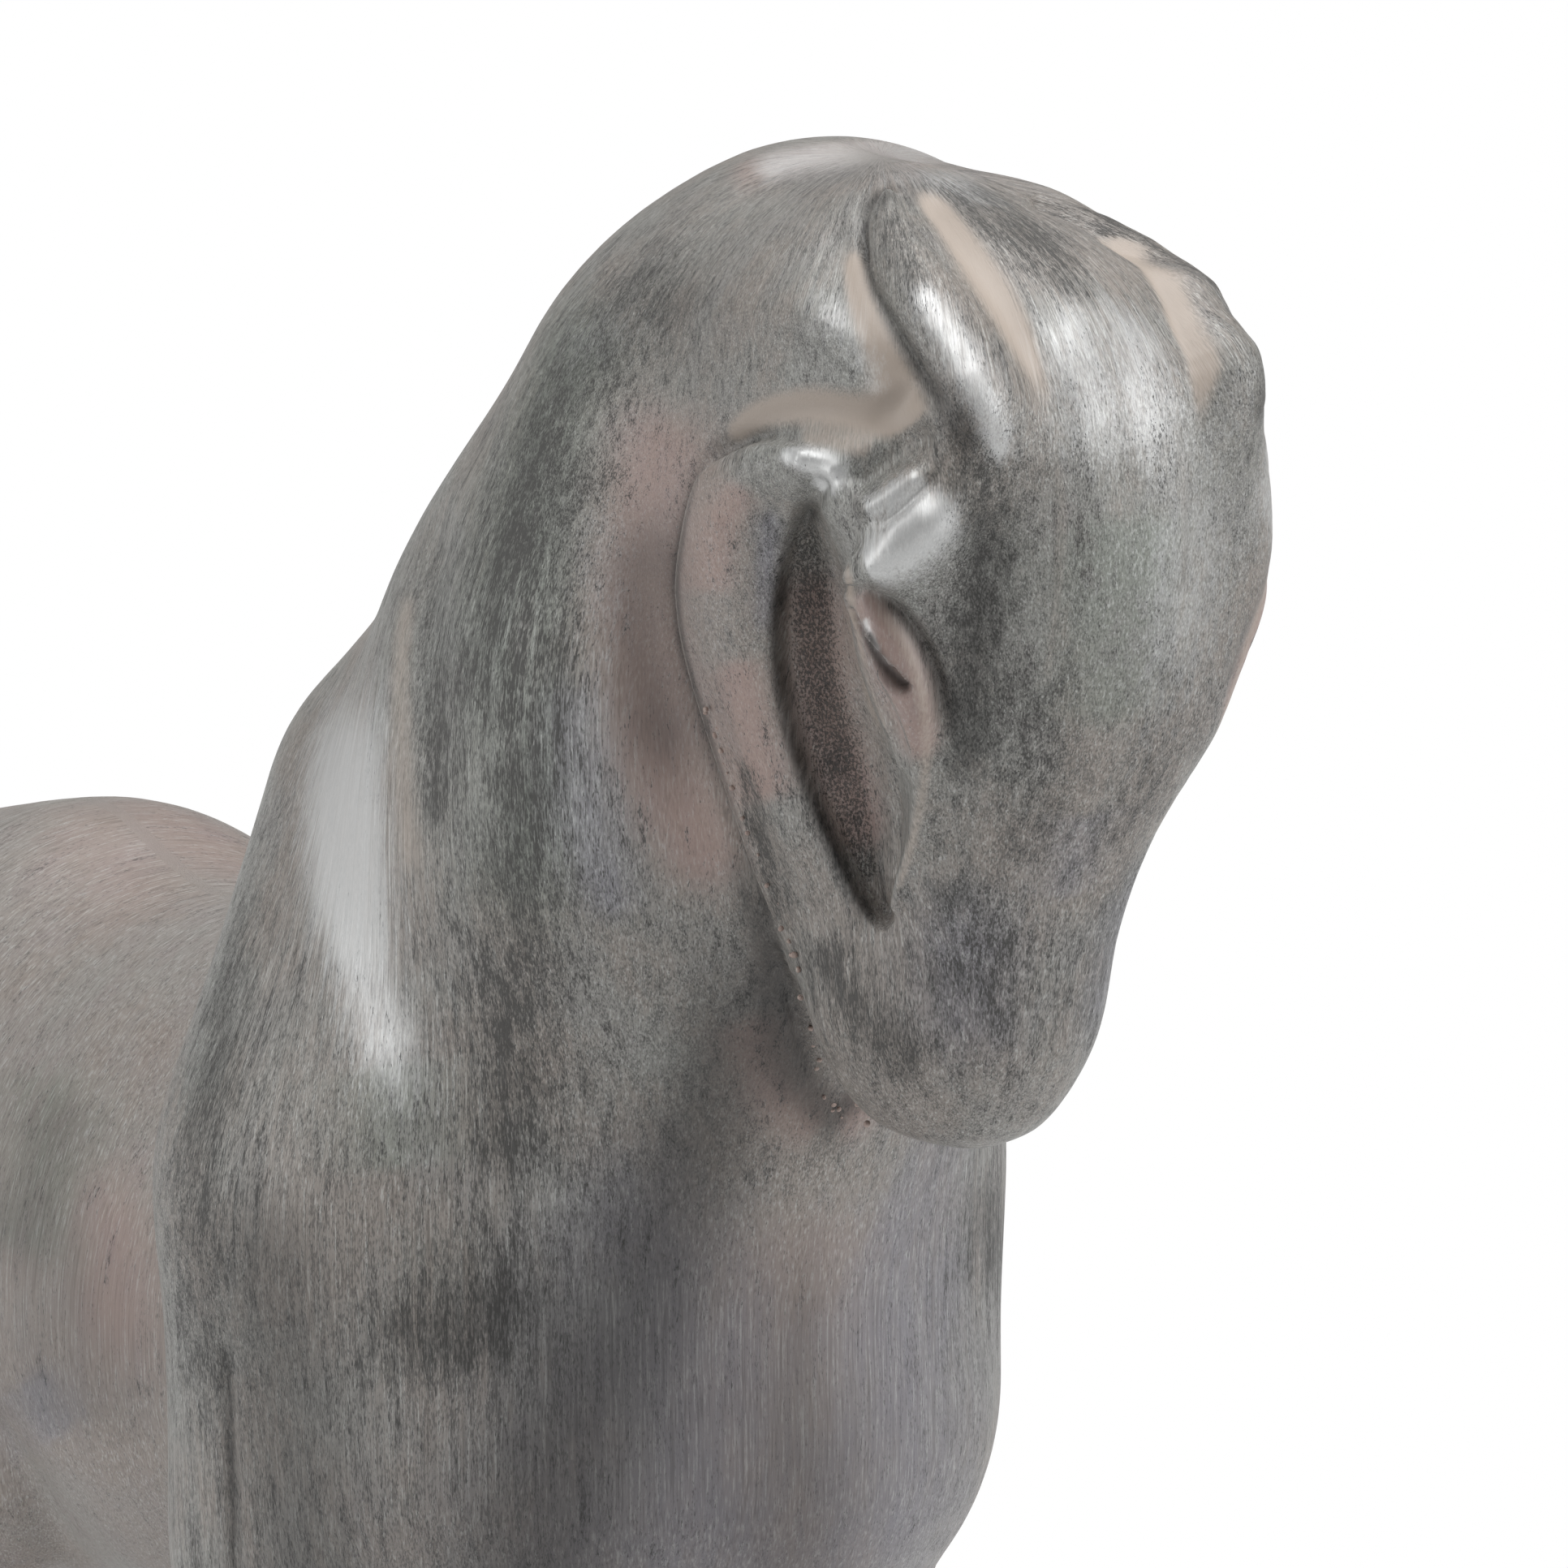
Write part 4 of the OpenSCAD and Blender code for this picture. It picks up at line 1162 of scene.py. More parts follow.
@dataclass
class Castings:
    """Body, head and legs: one surface sculpted in one go, then cut at the CAD part's joints.

    Attributes:
        nodes: the CAD part's nodes by name.
        view: the photograph's camera.
        voxel: size of the clay's first grid.
        seat_x: place of the head joint.
        leg_z: height of the leg joints.
        hoof_z: height of the top edge of the hooves.
        plug_shows: how far the belly plug stands out of its seat.
        fine_px: left, top, right and bottom of the part of the photograph that gets the finest grid.
        far_brow_mm: middle of the far brow, whose edge is plain in the photograph.
        rub_mm: how far around it the clay is rubbed plain.
        finer_mm: X and Z from which the grid is halved, one pair per round.
        plug_reach: how far around the plug the belly is worked.
        seat_edge: gaps from the plug between which its seat ends.
        fine_rounds: how often the grid is halved at the hooves and around the plug.
        last_rounds: how often the sculpted skin is rubbed.
        coronet_mm: height, place above the hoof and half width of the coronet.
        coronet_groove_mm: depth and half width of the groove under it.
        even_rounds: how often the clay is rubbed to lose its facets.
        rub_rounds: how often a place is rubbed plain.
        joint_rub: how far from the head joint the clay is rubbed plain.
        hoof_blend: height over which the rubbing of the hooves fades.
        hoof_rounds: how often the hooves are rubbed.
        hoof_reach: height above the hooves up to which the grid is finest.
        fine_facing: how squarely a place faces the camera to get the finest grid.
        fine_from_seat: how far from the head joint that grid starts.
        fades: how squarely a place faces the camera to get a full stroke of the tool, and of the brush.
        hoof_edge_mm: from the hoof's top edge, where its dark paint is full and where it ends.
        leg_fade_mm: heights between which the legs' paint turns into the body's.
        mid_x: place between front and hind legs.
        legs: names of the legs.
        fillers: nodes that close the bores of the castings.
        pieces: the finished pieces by name.
    """

    nodes: dict[str, bpy.types.Object]
    view: PhotoView
    voxel: float = 2.2 * MM
    seat_x: float = 114.5 * MM
    leg_z: float = 111.0 * MM
    hoof_z: float = 15.0 * MM
    plug_shows: float = 1.2 * MM
    fine_px: tuple[float, float, float, float] = (1005, 560, 1190, 1150)
    far_brow_mm: Triple = (152, 23, 286)
    rub_mm: Triple = (12, 10, 18)
    finer_mm: tuple[Point, ...] = ((8, 100), (100, 200))
    plug_reach: float = 6 * MM
    seat_edge: Point = (0.1 * MM, 0.6 * MM)
    fine_rounds: int = 2
    last_rounds: int = 2
    coronet_mm: Triple = (0.5, 2.2, 1.6)
    coronet_groove_mm: Point = (0.55, 0.9)
    even_rounds: int = 60
    rub_rounds: int = 40
    joint_rub: float = 9 * MM
    hoof_blend: float = 6 * MM
    hoof_rounds: int = 3
    hoof_reach: float = 14 * MM
    fine_facing: float = -0.2
    fine_from_seat: float = 4 * MM
    fades: Point = (0.3, 0.45)
    hoof_edge_mm: Point = (-1.2, 0.3)
    leg_fade_mm: Point = (90, 120)
    mid_x: float = -25 * MM
    legs: tuple[str, ...] = ("front_left_leg", "front_right_leg", "hind_left_leg", "hind_right_leg")
    fillers: tuple[str, ...] = ("leg_rods", "head_pins", "belly_plug", "tail_pin")
    pieces: dict[str, bpy.types.Object] = field(default_factory=dict)

    def clay(self) -> bpy.types.Mesh:
        """Merges copies of the castings into one closed skin with an even grid.

        Returns:
            The skin, smoothed so that the CAD facets are gone.
        """
        solids = ("body_shell", "head", *self.legs, *self.fillers)
        mesh = self.largest_shell(even_skin((self.nodes[name] for name in solids), self.voxel))
        points, edges = mesh_points(mesh), mesh_edges(mesh)
        points = smoothed(points, edges, self.even_rounds)
        near_joint = np.exp(-(((points[:, 0] - self.seat_x) / self.joint_rub) ** 2))
        from_brow = (points / MM - np.array(self.far_brow_mm)) / np.array(self.rub_mm)
        rub = np.maximum(near_joint, np.exp(-(from_brow**2).sum(1)))[:, None]
        points += rub * (smoothed(points, edges, self.rub_rounds, False) - points)
        hoof = 1 - smooth_step(self.hoof_z, self.hoof_z + self.hoof_blend, points[:, 2])
        rubbed = smoothed(points, edges, self.hoof_rounds, False)
        set_points(mesh, points + hoof[:, None] * (rubbed - points))
        return mesh

    @staticmethod
    def largest_shell(mesh: bpy.types.Mesh) -> bpy.types.Mesh:
        """Drops every closed skin but the one with the most points.

        Args:
            mesh: the skins, which are changed.

        Returns:
            The same mesh.
        """
        count = len(mesh.vertices)
        edges = mesh_edges(mesh)
        label = np.arange(count)
        while True:
            low = np.minimum(label[edges[:, 0]], label[edges[:, 1]])
            fresh = label.copy()
            np.minimum.at(fresh, edges[:, 0], low)
            np.minimum.at(fresh, edges[:, 1], low)
            fresh = fresh[fresh]
            if (fresh == label).all():
                break
            label = fresh
        shells, sizes = np.unique(label, return_counts=True)
        LOG.info("clay: %d shells of %s points", len(shells), sizes.tolist())
        if len(shells) > 1:
            keep = shells[sizes.argmax()]
            bm = bmesh.new()
            bm.from_mesh(mesh)
            bm.verts.ensure_lookup_table()
            bmesh.ops.delete(bm, geom=[bm.verts[i] for i in np.flatnonzero(label != keep)], context="VERTS")
            bm.to_mesh(mesh)
            bm.free()
        return mesh

    @staticmethod
    def refine(mesh: bpy.types.Mesh, chosen: np.ndarray, rounds: int = 6) -> None:
        """Halves the grid where points are chosen, and rubs it smooth.

        Args:
            mesh: the skin.
            chosen: one truth value per point.
            rounds: how often to rub.
        """
        bm = bmesh.new()
        bm.from_mesh(mesh)
        picked = [e for e in bm.edges if chosen[e.verts[0].index] and chosen[e.verts[1].index]]
        bmesh.ops.subdivide_edges(bm, edges=picked, cuts=1, use_grid_fill=True)
        bm.to_mesh(mesh)
        bm.free()
        set_points(mesh, smoothed(mesh_points(mesh), mesh_edges(mesh), rounds))

    def sculpt(self) -> bpy.types.Mesh:
        """Makes the skin and works every stroke into it.

        Returns:
            The finished skin in one piece.
        """
        mesh = self.clay()
        for from_x, from_z in self.finer_mm:
            p = mesh_points(mesh) / MM
            self.refine(mesh, (p[:, 0] > from_x) & (p[:, 2] > from_z))
        for _ in range(self.fine_rounds):
            self.refine(mesh, mesh_points(mesh)[:, 2] < self.hoof_z + self.hoof_reach)
        self.seat_plug(mesh)
        sculptor = Sculptor(self.view)
        points = mesh_points(mesh)
        pixels, facing = sculptor.near_side(points, mesh_normals(mesh))
        left, top, right, bottom = self.fine_px
        self.refine(mesh, (facing > self.fine_facing) & (pixels[:, 0] > left) & (pixels[:, 0] < right)
                    & (pixels[:, 1] > top) & (pixels[:, 1] < bottom)
                    & (points[:, 0] > self.seat_x + self.fine_from_seat))
        points, normals = mesh_points(mesh), mesh_normals(mesh)
        rise = sculptor.heights(points, normals, FACE_STROKES + BODY_STROKES, self.fades[0])
        rise += sum(lump.height(points) for lump in LUMPS)
        above_hoof = (points[:, 2] - self.hoof_z) / MM
        height, place, width = self.coronet_mm
        depth, groove = self.coronet_groove_mm
        coronet = height * np.exp(-(((above_hoof - place) / width) ** 2))
        rise += coronet - depth * np.exp(-((above_hoof / groove) ** 2))
        moved = points + normals * (rise * MM)[:, None]
        set_points(mesh, smoothed(moved, mesh_edges(mesh), self.last_rounds))
        self.paint(mesh, sculptor)
        return mesh

    def seat_plug(self, mesh: bpy.types.Mesh) -> None:
        """Sinks the belly under the plug's rim, so that the plug shows in its seat.

        Args:
            mesh: the skin.
        """
        low, high = (np.array(corner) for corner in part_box("belly_plug"))
        middle, radius = (low + high) / 2, (high - low)[0] / 2
        for _ in range(self.fine_rounds):
            points = mesh_points(mesh)
            gap = np.hypot(points[:, 0] - middle[0], points[:, 1])
            self.refine(mesh, (gap < radius + self.plug_reach) & (points[:, 2] < high[2] + self.plug_reach)
                        & (points[:, 2] > self.leg_z))
        points = mesh_points(mesh)
        gap = np.hypot(points[:, 0] - middle[0], points[:, 1]) - radius
        inside = (points[:, 2] < high[2] + self.plug_reach) * (1 - smooth_step(*self.seat_edge, gap))
        sunk = np.maximum(low[2] + self.plug_shows - points[:, 2], 0)
        points[:, 2] += inside * sunk
        set_points(mesh, points)

    def paint(self, mesh: bpy.types.Mesh, sculptor: Sculptor) -> None:
        """Lays the washes on the skin.

        Args:
            mesh: the skin.
            sculptor: knows where strokes fall.
        """
        points, normals = mesh_points(mesh), mesh_normals(mesh)
        front = Zone.FRONT.mask(points)
        hoof = 1 - smooth_step(*self.hoof_edge_mm, (points[:, 2] - self.hoof_z) / MM)
        leg = 1 - smooth_step(*self.leg_fade_mm, points[:, 2] / MM)
        base = {
            Wash.SOOT: np.maximum(0.1 + 0.2 * front, 0.3 * leg) + 0.3 * hoof,
            Wash.SHADE_AND_DARK_PAINT: 0.75 * hoof + 0.15 * (1 - front),
            Wash.SILVER_AND_HIGHLIGHT: 0.12,
            Wash.MOSS: 0.3,
            Wash.DUSK: 0.25,
            Wash.ROSE: 0.4 - 0.15 * front,
        }
        for wash in Wash:
            total = base.get(wash, 0.0) + sculptor.heights(points, normals, WASHES[wash], self.fades[1])
            set_values(mesh, wash.value, np.clip(total, 0, 1))

    @staticmethod
    def part(whole: bpy.types.Mesh, wanted: Callable[[Vector], bool]) -> bmesh.types.BMesh:
        """Takes the faces of one piece from the whole skin and closes the cuts with flat faces.

        Args:
            whole: the skin, with edges along every joint.
            wanted: tells from the middle of a face whether it belongs to the piece.

        Returns:
            The closed piece.
        """
        bm = bmesh.new()
        bm.from_mesh(whole)
        rest = [f for f in bm.faces if not wanted(f.calc_center_median())]
        bmesh.ops.delete(bm, geom=rest, context="FACES")
        rim = [e for e in bm.edges if e.is_boundary]
        caps = bmesh.ops.holes_fill(bm, edges=rim, sides=0)["faces"]
        for face in bmesh.ops.triangulate(bm, faces=caps)["faces"]:
            face.smooth = False
        return bm

    def build(self, paint: bpy.types.Material) -> None:
        """Makes the pieces and dresses them.

        Args:
            paint: material of every casting.
        """
        whole = self.sculpt()
        bm = bmesh.new()
        bm.from_mesh(whole)
        for place, away in ((Vector((self.seat_x, 0, 0)), Vector((1, 0, 0))),
                            (Vector((0, 0, self.leg_z)), Vector((0, 0, 1)))):
            bmesh.ops.bisect_plane(bm, geom=bm.verts[:] + bm.edges[:] + bm.faces[:], dist=SAME_PLACE,
                                   plane_co=place, plane_no=away)
        for face in bm.faces:
            face.smooth = True
        bm.to_mesh(whole)
        bm.free()
        set_values(whole, "whole_normal", mesh_normals(whole))
        self.keep("painted_head", self.part(whole, lambda c: c.x > self.seat_x), ["head"], paint)
        self.keep("painted_body", self.part(whole, lambda c: c.x < self.seat_x and c.z > self.leg_z),
                  ["body_shell"], paint)
        for name in self.legs:
            side, end = (1 if "left" in name else -1), (1 if "front" in name else -1)
            leg = self.part(whole, lambda c: c.z < self.leg_z and c.y * side > 0
                            and (c.x - self.mid_x) * end > 0)
            self.keep(f"painted_{name}", leg, [name], paint)
        bpy.data.meshes.remove(whole)

    @staticmethod
    def shade_across_joints(mesh: bpy.types.Mesh) -> None:
        """Shades a piece as if it were still joined to its neighbours, so that no joint shows as a line.

        Args:
            mesh: the piece, which loses the normals of the whole skin kept on it.
        """
        corners = read_all(mesh.loops, "vertex_index", 1, np.int64)[:, 0]
        normals = read_all(mesh.attributes["whole_normal"].data, "vector", 3)[corners]
        for face in mesh.polygons:
            if not face.use_smooth:
                normals[face.loop_start : face.loop_start + face.loop_total] = face.normal
        mesh.normals_split_custom_set(normals.tolist())
        mesh.attributes.remove(mesh.attributes["whole_normal"])

    def keep(self, name: str, bm: bmesh.types.BMesh, nodes: Sequence[str],
             paint: bpy.types.Material) -> None:
        """Turns a cut part into a piece that stands for CAD nodes.

        Args:
            name: the piece's name.
            bm: its shape, which is freed.
            nodes: what it stands for.
            paint: its material.
        """
        mesh = new_mesh(bm, name)
        self.shade_across_joints(mesh)
        set_values(mesh, "brush", brush_space(mesh_points(mesh)))
        self.pieces[name] = dress(name, mesh, paint, nodes)


@dataclass
class Tail:
    """The hanging tail, with locks of hair worked along it.

    Attributes:
        nodes: the CAD part's nodes by name.
        voxel: size of its grid.
        lock_mm: height of the locks.
        rounds: how often its skin is rubbed smooth.
        lock_size: size of the locks across, across and along the hair.
        wisp_size: size of the finer wisps.
        wisp_share: their height against the locks.
        wisp_shift: sets their pattern apart from the locks.
    """

    nodes: dict[str, bpy.types.Object]
    voxel: float = 1.1 * MM
    lock_mm: float = 0.55
    rounds: int = 40
    lock_size: Triple = (3.2 * MM, 2.6 * MM, 40 * MM)
    wisp_size: Triple = (1.4 * MM, 1.3 * MM, 30 * MM)
    wisp_share: float = 0.5
    wisp_shift: float = 7.3

    @staticmethod
    def unrolled(points: np.ndarray) -> np.ndarray:
        """Straightens the tail's bend at the rump, so that its hair runs along the third axis.

        Args:
            points: places on the tail, one per row.

        Returns:
            Straightened places, one per row.
        """
        low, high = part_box("tail")
        bend_x, bend_z = high[0], high[2] - (high[0] - low[0])
        x, y, z = points.T
        out, up = bend_x - x, np.maximum(z - bend_z, 0)
        reach = np.hypot(out, up)
        turn = np.arctan2(up, np.maximum(out, SAME_PLACE))
        return np.column_stack([bend_x - reach, y, np.minimum(z, bend_z) + reach * turn])

    def build(self, paint: bpy.types.Material) -> None:
        """Makes the piece and dresses it.

        Args:
            paint: material of the castings.
        """
        mesh = even_skin((self.nodes[name] for name in ("tail", "tail_pin")), self.voxel)
        set_points(mesh, smoothed(mesh_points(mesh), mesh_edges(mesh), self.rounds))
        points, normals = mesh_points(mesh), mesh_normals(mesh)
        hair = self.unrolled(points)
        locks = grain(hair, self.lock_size) + self.wisp_share * grain(hair, self.wisp_size, self.wisp_shift)
        set_points(mesh, points + normals * (self.lock_mm * MM * locks)[:, None])
        # The coats follow the locks: darker in the grooves between them, lighter on their crests.
        levels = {Wash.SOOT: (0.35, -0.3), Wash.SHADE_AND_DARK_PAINT: (0.15, -0.4), Wash.SILVER_AND_HIGHLIGHT: (0.25, 0.3),
                  Wash.MOSS: (0.3, 0.0), Wash.ROSE: (0.3, 0.0)}
        for wash in Wash:
            level, gain = levels.get(wash, (0.0, 0.0))
            set_values(mesh, wash.value, np.clip(level + gain * locks, 0, 1))
        set_values(mesh, "brush", hair)
        mesh.shade_smooth()
        dress("painted_tail", mesh, paint, ["tail"])


@dataclass
class Pads:
    """Felt discs under the hooves, pressed flat between hoof and floor.

    Attributes:
        names: the CAD pads that they stand for.
        around: points around a disc.
        section: half of a disc's section, from the middle of its underside to the middle of its top, as
            shares of its radius and of its thickness.
        fuzz: how far the cut edge is frayed.
        fray: shares of the radius between which the fraying grows.
        wisp_size: size of the fraying along each axis.
    """

    names: tuple[str, ...] = ("front_left_pad", "front_right_pad", "hind_left_pad", "hind_right_pad")
    around: int = 120
    section: tuple[Point, ...] = (
        (0.0, 0.0), (0.45, 0.0), (0.8, 0.0), (0.93, 0.01), (0.972, 0.1), (0.985, 0.3), (0.99, 0.5),
        (0.985, 0.7), (0.972, 0.9), (0.93, 0.99), (0.8, 1.0), (0.45, 1.0), (0.0, 1.0),
    )
    fuzz: float = 0.09 * MM
    fray: Point = (0.9, 0.97)
    wisp_size: Triple = (0.5 * MM, 0.5 * MM, 0.4 * MM)

    def build(self, felt: bpy.types.Material) -> None:
        """Makes the discs and dresses them.

        Args:
            felt: their material.
        """
        turn = np.linspace(0, 2 * math.pi, self.around, endpoint=False)
        circle = np.column_stack([np.cos(turn), np.sin(turn), np.zeros(self.around)])
        for name in self.names:
            low, high = (np.array(corner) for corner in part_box(name))
            middle, radius, thick = (low + high) / 2, (high - low)[0] / 2, (high - low)[2]
            foot = np.array([middle[0], middle[1], low[2]])
            rings = [foot + circle * radius * out + np.array([0, 0, thick * up])
                     for out, up in self.section[1:-1]]
            points = np.vstack([foot, *rings, foot + np.array([0, 0, thick])])
            frayed = points - middle
            frayed[:, 2] = 0
            edge = smooth_step(*self.fray, np.linalg.norm(frayed, axis=1) / radius)
            wisps = grain(points, self.wisp_size) * edge * self.fuzz
            points += frayed / np.maximum(np.linalg.norm(frayed, axis=1), TINY)[:, None] * wisps[:, None]
            n, last = self.around, len(points) - 1
            faces = []
            for k in range(n):
                after = (k + 1) % n
                faces.append((0, 1 + after, 1 + k))
                faces += [(1 + i * n + k, 1 + i * n + after, 1 + (i + 1) * n + after, 1 + (i + 1) * n + k)
                          for i in range(len(rings) - 1)]
                faces.append((last, last - n + k, last - n + after))
            mesh = bpy.data.meshes.new(f"felt_{name}")
            mesh.from_pydata(points.tolist(), [], faces)
            mesh.shade_smooth()
            piece = dress(f"felt_{name}", mesh, felt, [name])


@dataclass(frozen=True)
class Bead:
    """One run of putty crumbs.

    Attributes:
        path: pixels along it.
        spacing_mm: from crumb to crumb.
        spread_mm: how far crumbs stray from the run.
        size_mm: least and greatest radius of a crumb.
        seed: of their random places and sizes.
    """

    path: tuple[Point, ...]
    spacing_mm: float
    spread_mm: float
    size_mm: tuple[float, float]
    seed: int


@dataclass
class Putty:
    """Crumbs of putty squeezed out of the head joint, strewn along the jaw by Geometry Nodes.

    Attributes:
        view: the photograph's camera.
        castings: the painted pieces that the crumbs stick to.
        longest_step: where a run would bridge more than this, it is broken.
        reach_px: how far from a run the skin under it is looked for.
        grain_size: size of the crumbs' unevenness.
        grain_rise: height of it.
        any_turn: greatest random turn about each axis.
        beads: the runs of crumbs.
    """

    view: PhotoView
    castings: Sequence[bpy.types.Object]
    longest_step: float = 1.8 * MM
    reach_px: float = 6.0
    grain_size: float = 0.5 * MM
    grain_rise: float = 0.12 * MM
    any_turn: float = 6.28
    beads: tuple[Bead, ...] = (
        Bead(((868, 872), (880, 915), (896, 958), (914, 1006), (934, 1062), (954, 1112), (970, 1156)),
             1.5, 0.7, (0.12, 0.34), 3),
        Bead(((970, 1156), (982, 1204), (990, 1246), (999, 1300), (1014, 1336)), 1.2, 0.6, (0.14, 0.4), 5),
        Bead(((1018, 1350), (1034, 1376), (1052, 1388), (1074, 1392)), 1.1, 0.7, (0.14, 0.42), 8),
    )

    def group(self) -> bpy.types.GeometryNodeTree:
        """Makes the node group that strews crumbs along a line.

        Returns:
            The node group.
        """
        tree = bpy.data.node_groups.new("crumbs", "GeometryNodeTree")
        b = Board(tree)
        sockets = {"Path": "Geometry", "Spacing": "Float", "Spread": "Float", "Smallest": "Float",
                   "Largest": "Float", "Seed": "Int", "Material": "Material"}
        for name, kind in sockets.items():
            tree.interface.new_socket(name, in_out="INPUT", socket_type=f"NodeSocket{kind}")
        tree.interface.new_socket("Crumbs", in_out="OUTPUT", socket_type="NodeSocketGeometry")
        given = b.node("NodeGroupInput").outputs
        curve = b.one("GeometryNodeMeshToCurve", None, {0: given["Path"]})
        dots = b.one("GeometryNodeResampleCurve", {"mode": "LENGTH"},
                     {"Curve": curve, "Length": given["Spacing"]})
        stray = b.one("FunctionNodeRandomValue", {"data_type": "FLOAT_VECTOR"},
                      {0: (-1, -1, -1), 1: (1, 1, 1), "Seed": given["Seed"]})
        offset = b.one("ShaderNodeVectorMath", {"operation": "SCALE"}, {0: stray, "Scale": given["Spread"]})
        dots = b.one("GeometryNodeSetPosition", None, {"Geometry": dots, "Offset": offset})
        crumb = b.one("GeometryNodeMeshIcoSphere", None, {"Radius": 1.0, "Subdivisions": 3})
        size = b.one("FunctionNodeRandomValue", {"data_type": "FLOAT"},
                     {2: given["Smallest"], 3: given["Largest"], "Seed": given["Seed"]}, 1)
        turn = b.one("FunctionNodeRandomValue", {"data_type": "FLOAT_VECTOR"},
                     {0: (0, 0, 0), 1: (self.any_turn,) * 3, "Seed": given["Seed"]})
        strewn = b.one("GeometryNodeInstanceOnPoints", None,
                       {"Points": dots, "Instance": crumb, "Rotation": turn, "Scale": size})
        real = b.one("GeometryNodeRealizeInstances", None, {"Geometry": strewn})
        dressed = b.one("GeometryNodeSetMaterial", None, {"Geometry": real, "Material": given["Material"]})
        b.node("NodeGroupOutput", None, {0: dressed})
        return tree

    def places(self, path: Sequence[Point], step_px: float = 8.0) -> np.ndarray:
        """Finds the skin under a line on the photograph.

        Args:
            path: pixels along the line.
            step_px: distance of the places along it.

        Returns:
            Places on the skin, one per row.
        """
        points = np.vstack([mesh_points(piece.data) for piece in self.castings])
        normals = np.vstack([mesh_normals(piece.data) for piece in self.castings])
        pixels, facing = Sculptor(self.view).near_side(points, normals)
        shown = (facing > 0) & (points[:, 1] < 0)
        points, pixels = points[shown], pixels[shown]
        depth = (points - self.view.eye()) @ self.view.axes()[2]
        found = []
        for a, b in zip(np.array(path[:-1]), np.array(path[1:])):
            count = max(int(np.linalg.norm(b - a) / step_px), 1)
            for spot in a + (b - a) * np.arange(count)[:, None] / count:
                gap = np.linalg.norm(pixels - spot, axis=1)
                close = np.flatnonzero(gap < max(self.reach_px, gap.min() + 0.1))
                found.append(points[close[depth[close].argmax()]])
        return np.array(found)

    def strewn(self, tree: bpy.types.GeometryNodeTree, bead: Bead,
               paint: bpy.types.Material) -> bpy.types.Mesh:
        """Strews one run of crumbs on both sides of the figure.

        Args:
            tree: the node group.
            bead: the run.
            paint: material of the crumbs.

        Returns:
            The crumbs as a plain mesh.
        """
        near = self.places(bead.path)
        run = [(i, i + 1) for i in range(len(near) - 1)
               if np.linalg.norm(near[i + 1] - near[i]) < self.longest_step]
        lines = bpy.data.meshes.new("bead_lines")
        lines.from_pydata([*near.tolist(), *(near * (1, -1, 1)).tolist()],
                          [*run, *((a + len(near), b + len(near)) for a, b in run)], [])
        holder = bpy.data.objects.new("bead_lines", lines)
        modifier = holder.modifiers.new("crumbs", "NODES")
        modifier.node_group = tree
        least, greatest = bead.size_mm
        values = {"Spacing": bead.spacing_mm * MM, "Spread": bead.spread_mm * MM, "Smallest": least * MM,
                  "Largest": greatest * MM, "Seed": bead.seed, "Material": paint}
        for item in tree.interface.items_tree:
            if item.name in values:
                modifier[item.identifier] = values[item.name]
        return plain_mesh(holder)

    def build(self, paint: bpy.types.Material) -> None:
        """Makes the piece and dresses it.

        Args:
            paint: material of the castings.
        """
        tree = self.group()
        bm = bmesh.new()
        for bead in self.beads:
            bm.from_mesh(self.strewn(tree, bead, paint))
        mesh = new_mesh(bm, "putty_crumbs")
        points, normals = mesh_points(mesh), mesh_normals(mesh)
        uneven = grain(points, (self.grain_size,) * 3)
        set_points(mesh, points + normals * (self.grain_rise * uneven)[:, None])
        levels = {Wash.SOOT: 0.1, Wash.ROSE: 0.8, Wash.SILVER_AND_HIGHLIGHT: 0.2, Wash.SAND: 0.3}
        for wash in Wash:
            set_values(mesh, wash.value, np.full(len(points), levels.get(wash, 0.0)))
        set_values(mesh, "brush", points)
        mesh.shade_smooth()
        dress("putty_crumbs", mesh, paint)


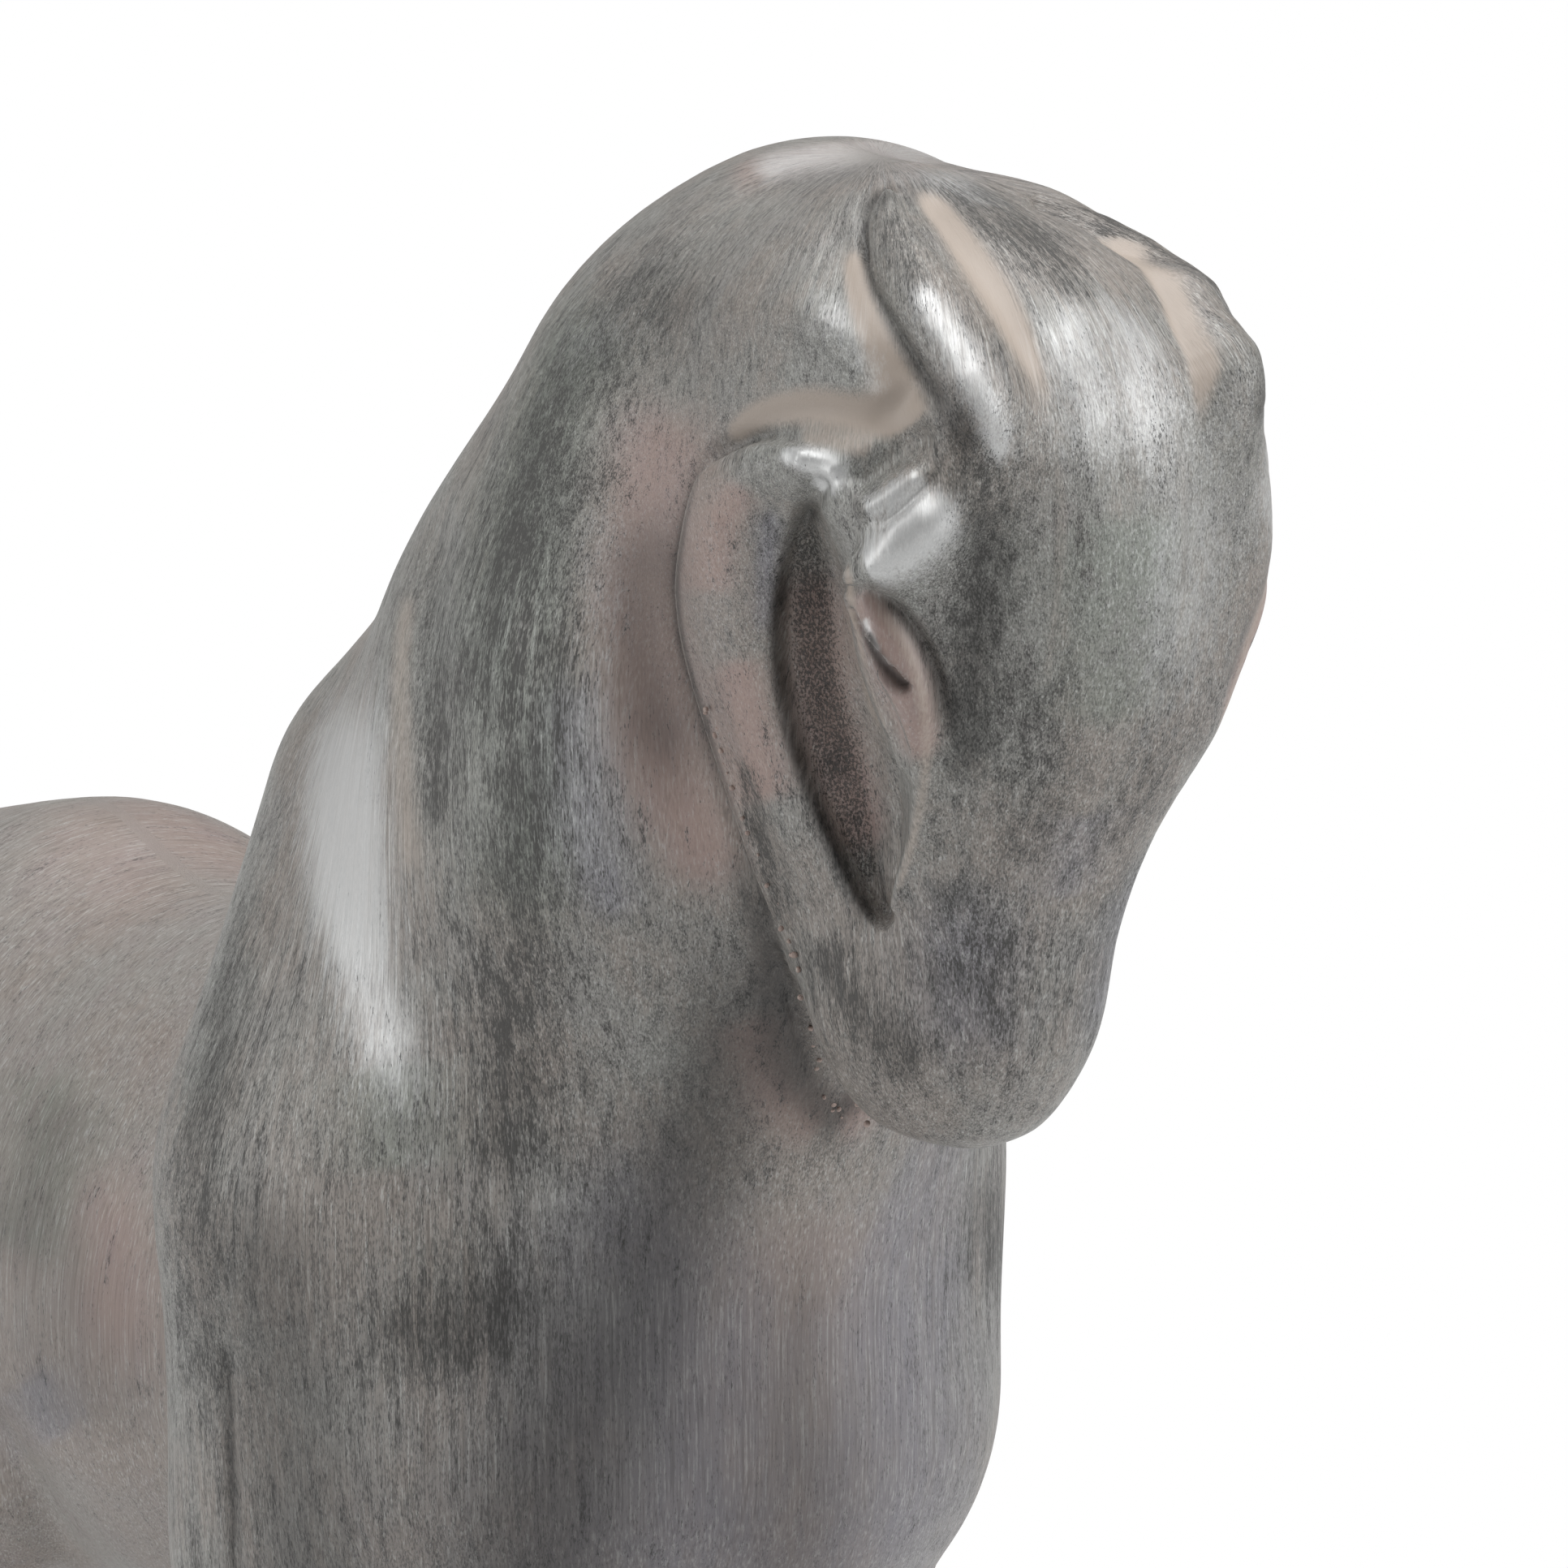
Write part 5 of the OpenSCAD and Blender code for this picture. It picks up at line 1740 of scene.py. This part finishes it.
@dataclass
class Studio:
    """Floor, lights and camera.

    Attributes:
        view: the photograph's camera.
        floor_half: half the floor's width.
        floor_fade: distances between which the floor turns into white backdrop.
        sensor_mm: width of the camera's sensor.
        ambient: strength of the light from all around.
    """

    view: PhotoView
    floor_half: float = 9.0
    floor_fade: Point = (0.24, 0.40)
    sensor_mm: float = 36.0
    ambient: float = 0.30

    def build(self) -> None:
        """Sets everything up."""
        self.camera()
        self.floor()
        self.world()
        right, _, back = self.view.axes()
        heart = np.array(self.view.target)
        above = heart + np.array([0.05, 0.0, 1.25])
        left_edge = heart - 1.05 * right + 0.10 * back + np.array([0, 0, 0.1])
        right_edge = heart + 1.3 * right + 0.5 * back + np.array([0, 0, 0.4])
        self.lamp("overhead", above, size=(1.5, 1.5), watts=27.0)
        self.lamp("strip", left_edge, size=(0.18, 1.3), watts=5.0)
        self.lamp("far_side", right_edge, size=(0.9, 1.2), watts=13.0)

    def camera(self) -> None:
        """Places the camera where the photograph's was."""
        data = bpy.data.cameras.new("camera")
        data.sensor_width = self.sensor_mm
        data.lens = self.view.focal_px / self.view.frame_px * self.sensor_mm
        data.clip_start, data.clip_end = 0.01, 100
        camera = bpy.data.objects.new("camera", data)
        camera.location = Vector(self.view.eye())
        camera.rotation_euler = Vector(-self.view.axes()[2]).to_track_quat("-Z", "Y").to_euler()
        bpy.context.scene.collection.objects.link(camera)
        bpy.context.scene.camera = camera

    def floor(self) -> None:
        """Lays a pale floor that turns into white backdrop away from the figure."""
        mesh = bpy.data.meshes.new("floor")
        h = self.floor_half
        mesh.from_pydata([(-h, -h, 0), (h, -h, 0), (h, h, 0), (-h, h, 0)], [], [(0, 1, 2, 3)])
        material = bpy.data.materials.new("pale_floor")
        material.use_nodes = True
        b = Board(material.node_tree)
        away = b.one("ShaderNodeVectorMath", {"operation": "LENGTH"}, {0: b.place()}, "Value")
        path = b.node("ShaderNodeLightPath")
        shown = sum((Signal(b, path.outputs[n]) for n in ("Is Glossy Ray", "Is Transmission Ray")),
                    Signal(b, path.outputs["Is Camera Ray"]))
        plain = b.node("ShaderNodeBsdfDiffuse", None, {"Color": (0.8, 0.8, 0.8, 1)})
        white = b.node("ShaderNodeEmission", None, {"Color": (1, 1, 1, 1), "Strength": 1.0})
        share = shown * away.step(*self.floor_fade)
        surface = b.node("ShaderNodeMixShader", None, {0: share, 1: plain.outputs[0], 2: white.outputs[0]})
        b.node("ShaderNodeOutputMaterial", None, {"Surface": surface.outputs[0]})
        mesh.materials.append(material)
        floor = bpy.data.objects.new("floor", mesh)
        bpy.context.scene.collection.objects.link(floor)

    def world(self) -> None:
        """Surrounds the figure with soft white light."""
        world = bpy.data.worlds.new("studio")
        bpy.context.scene.world = world
        world.use_nodes = True
        b = Board(world.node_tree)
        path = b.node("ShaderNodeLightPath")
        seen = Signal(b, path.outputs["Is Camera Ray"])
        light = b.node("ShaderNodeBackground", None, {"Color": (1, 1, 1, 1), "Strength": self.ambient})
        white = b.node("ShaderNodeBackground", None, {"Color": (1, 1, 1, 1), "Strength": 1.0})
        surface = b.node("ShaderNodeMixShader", None, {0: seen, 1: light.outputs[0], 2: white.outputs[0]})
        b.node("ShaderNodeOutputWorld", None, {"Surface": surface.outputs[0]})

    def lamp(self, name: str, place: np.ndarray, size: tuple[float, float], watts: float) -> None:
        """Hangs a soft box that points at the figure.

        Args:
            name: its name.
            place: where it hangs.
            size: its width and height.
            watts: its power.
        """
        data = bpy.data.lights.new(name, "AREA")
        data.shape = "RECTANGLE"
        data.size, data.size_y = size
        data.energy = watts
        lamp = bpy.data.objects.new(name, data)
        lamp.location = Vector(place)
        aim = Vector(self.view.target) - Vector(place)
        lamp.rotation_euler = aim.to_track_quat("-Z", "Y").to_euler()
        bpy.context.scene.collection.objects.link(lamp)


def main() -> None:
    """Builds the figure and its studio."""
    logging.basicConfig(level=logging.INFO, format="%(name)s: %(message)s")
    bpy.context.scene.view_settings.view_transform = "Standard"
    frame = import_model()
    nodes = frame["nodes"]
    view = PhotoView()
    Studio(view).build()
    paint = PaintFinish().build()
    steel, rubber, felt = SteelFinish().build(), RubberFinish().build(), FeltFinish().build()
    castings = Castings(nodes, view)
    castings.build(paint)
    Tail(nodes).build(paint)
    Putty(view, [castings.pieces[name] for name in ("painted_head", "painted_body")]).build(paint)
    Pads().build(felt)
    finishes = {"leg_rods": steel, "head_pins": steel, "tail_pin": steel, "belly_plug": rubber}
    for name, finish in finishes.items():
        nodes[name].data.materials.clear()
        nodes[name].data.materials.append(finish)
        LOG.info("%s: %s", name, finish.name)


if __name__ == "__main__":
    main()
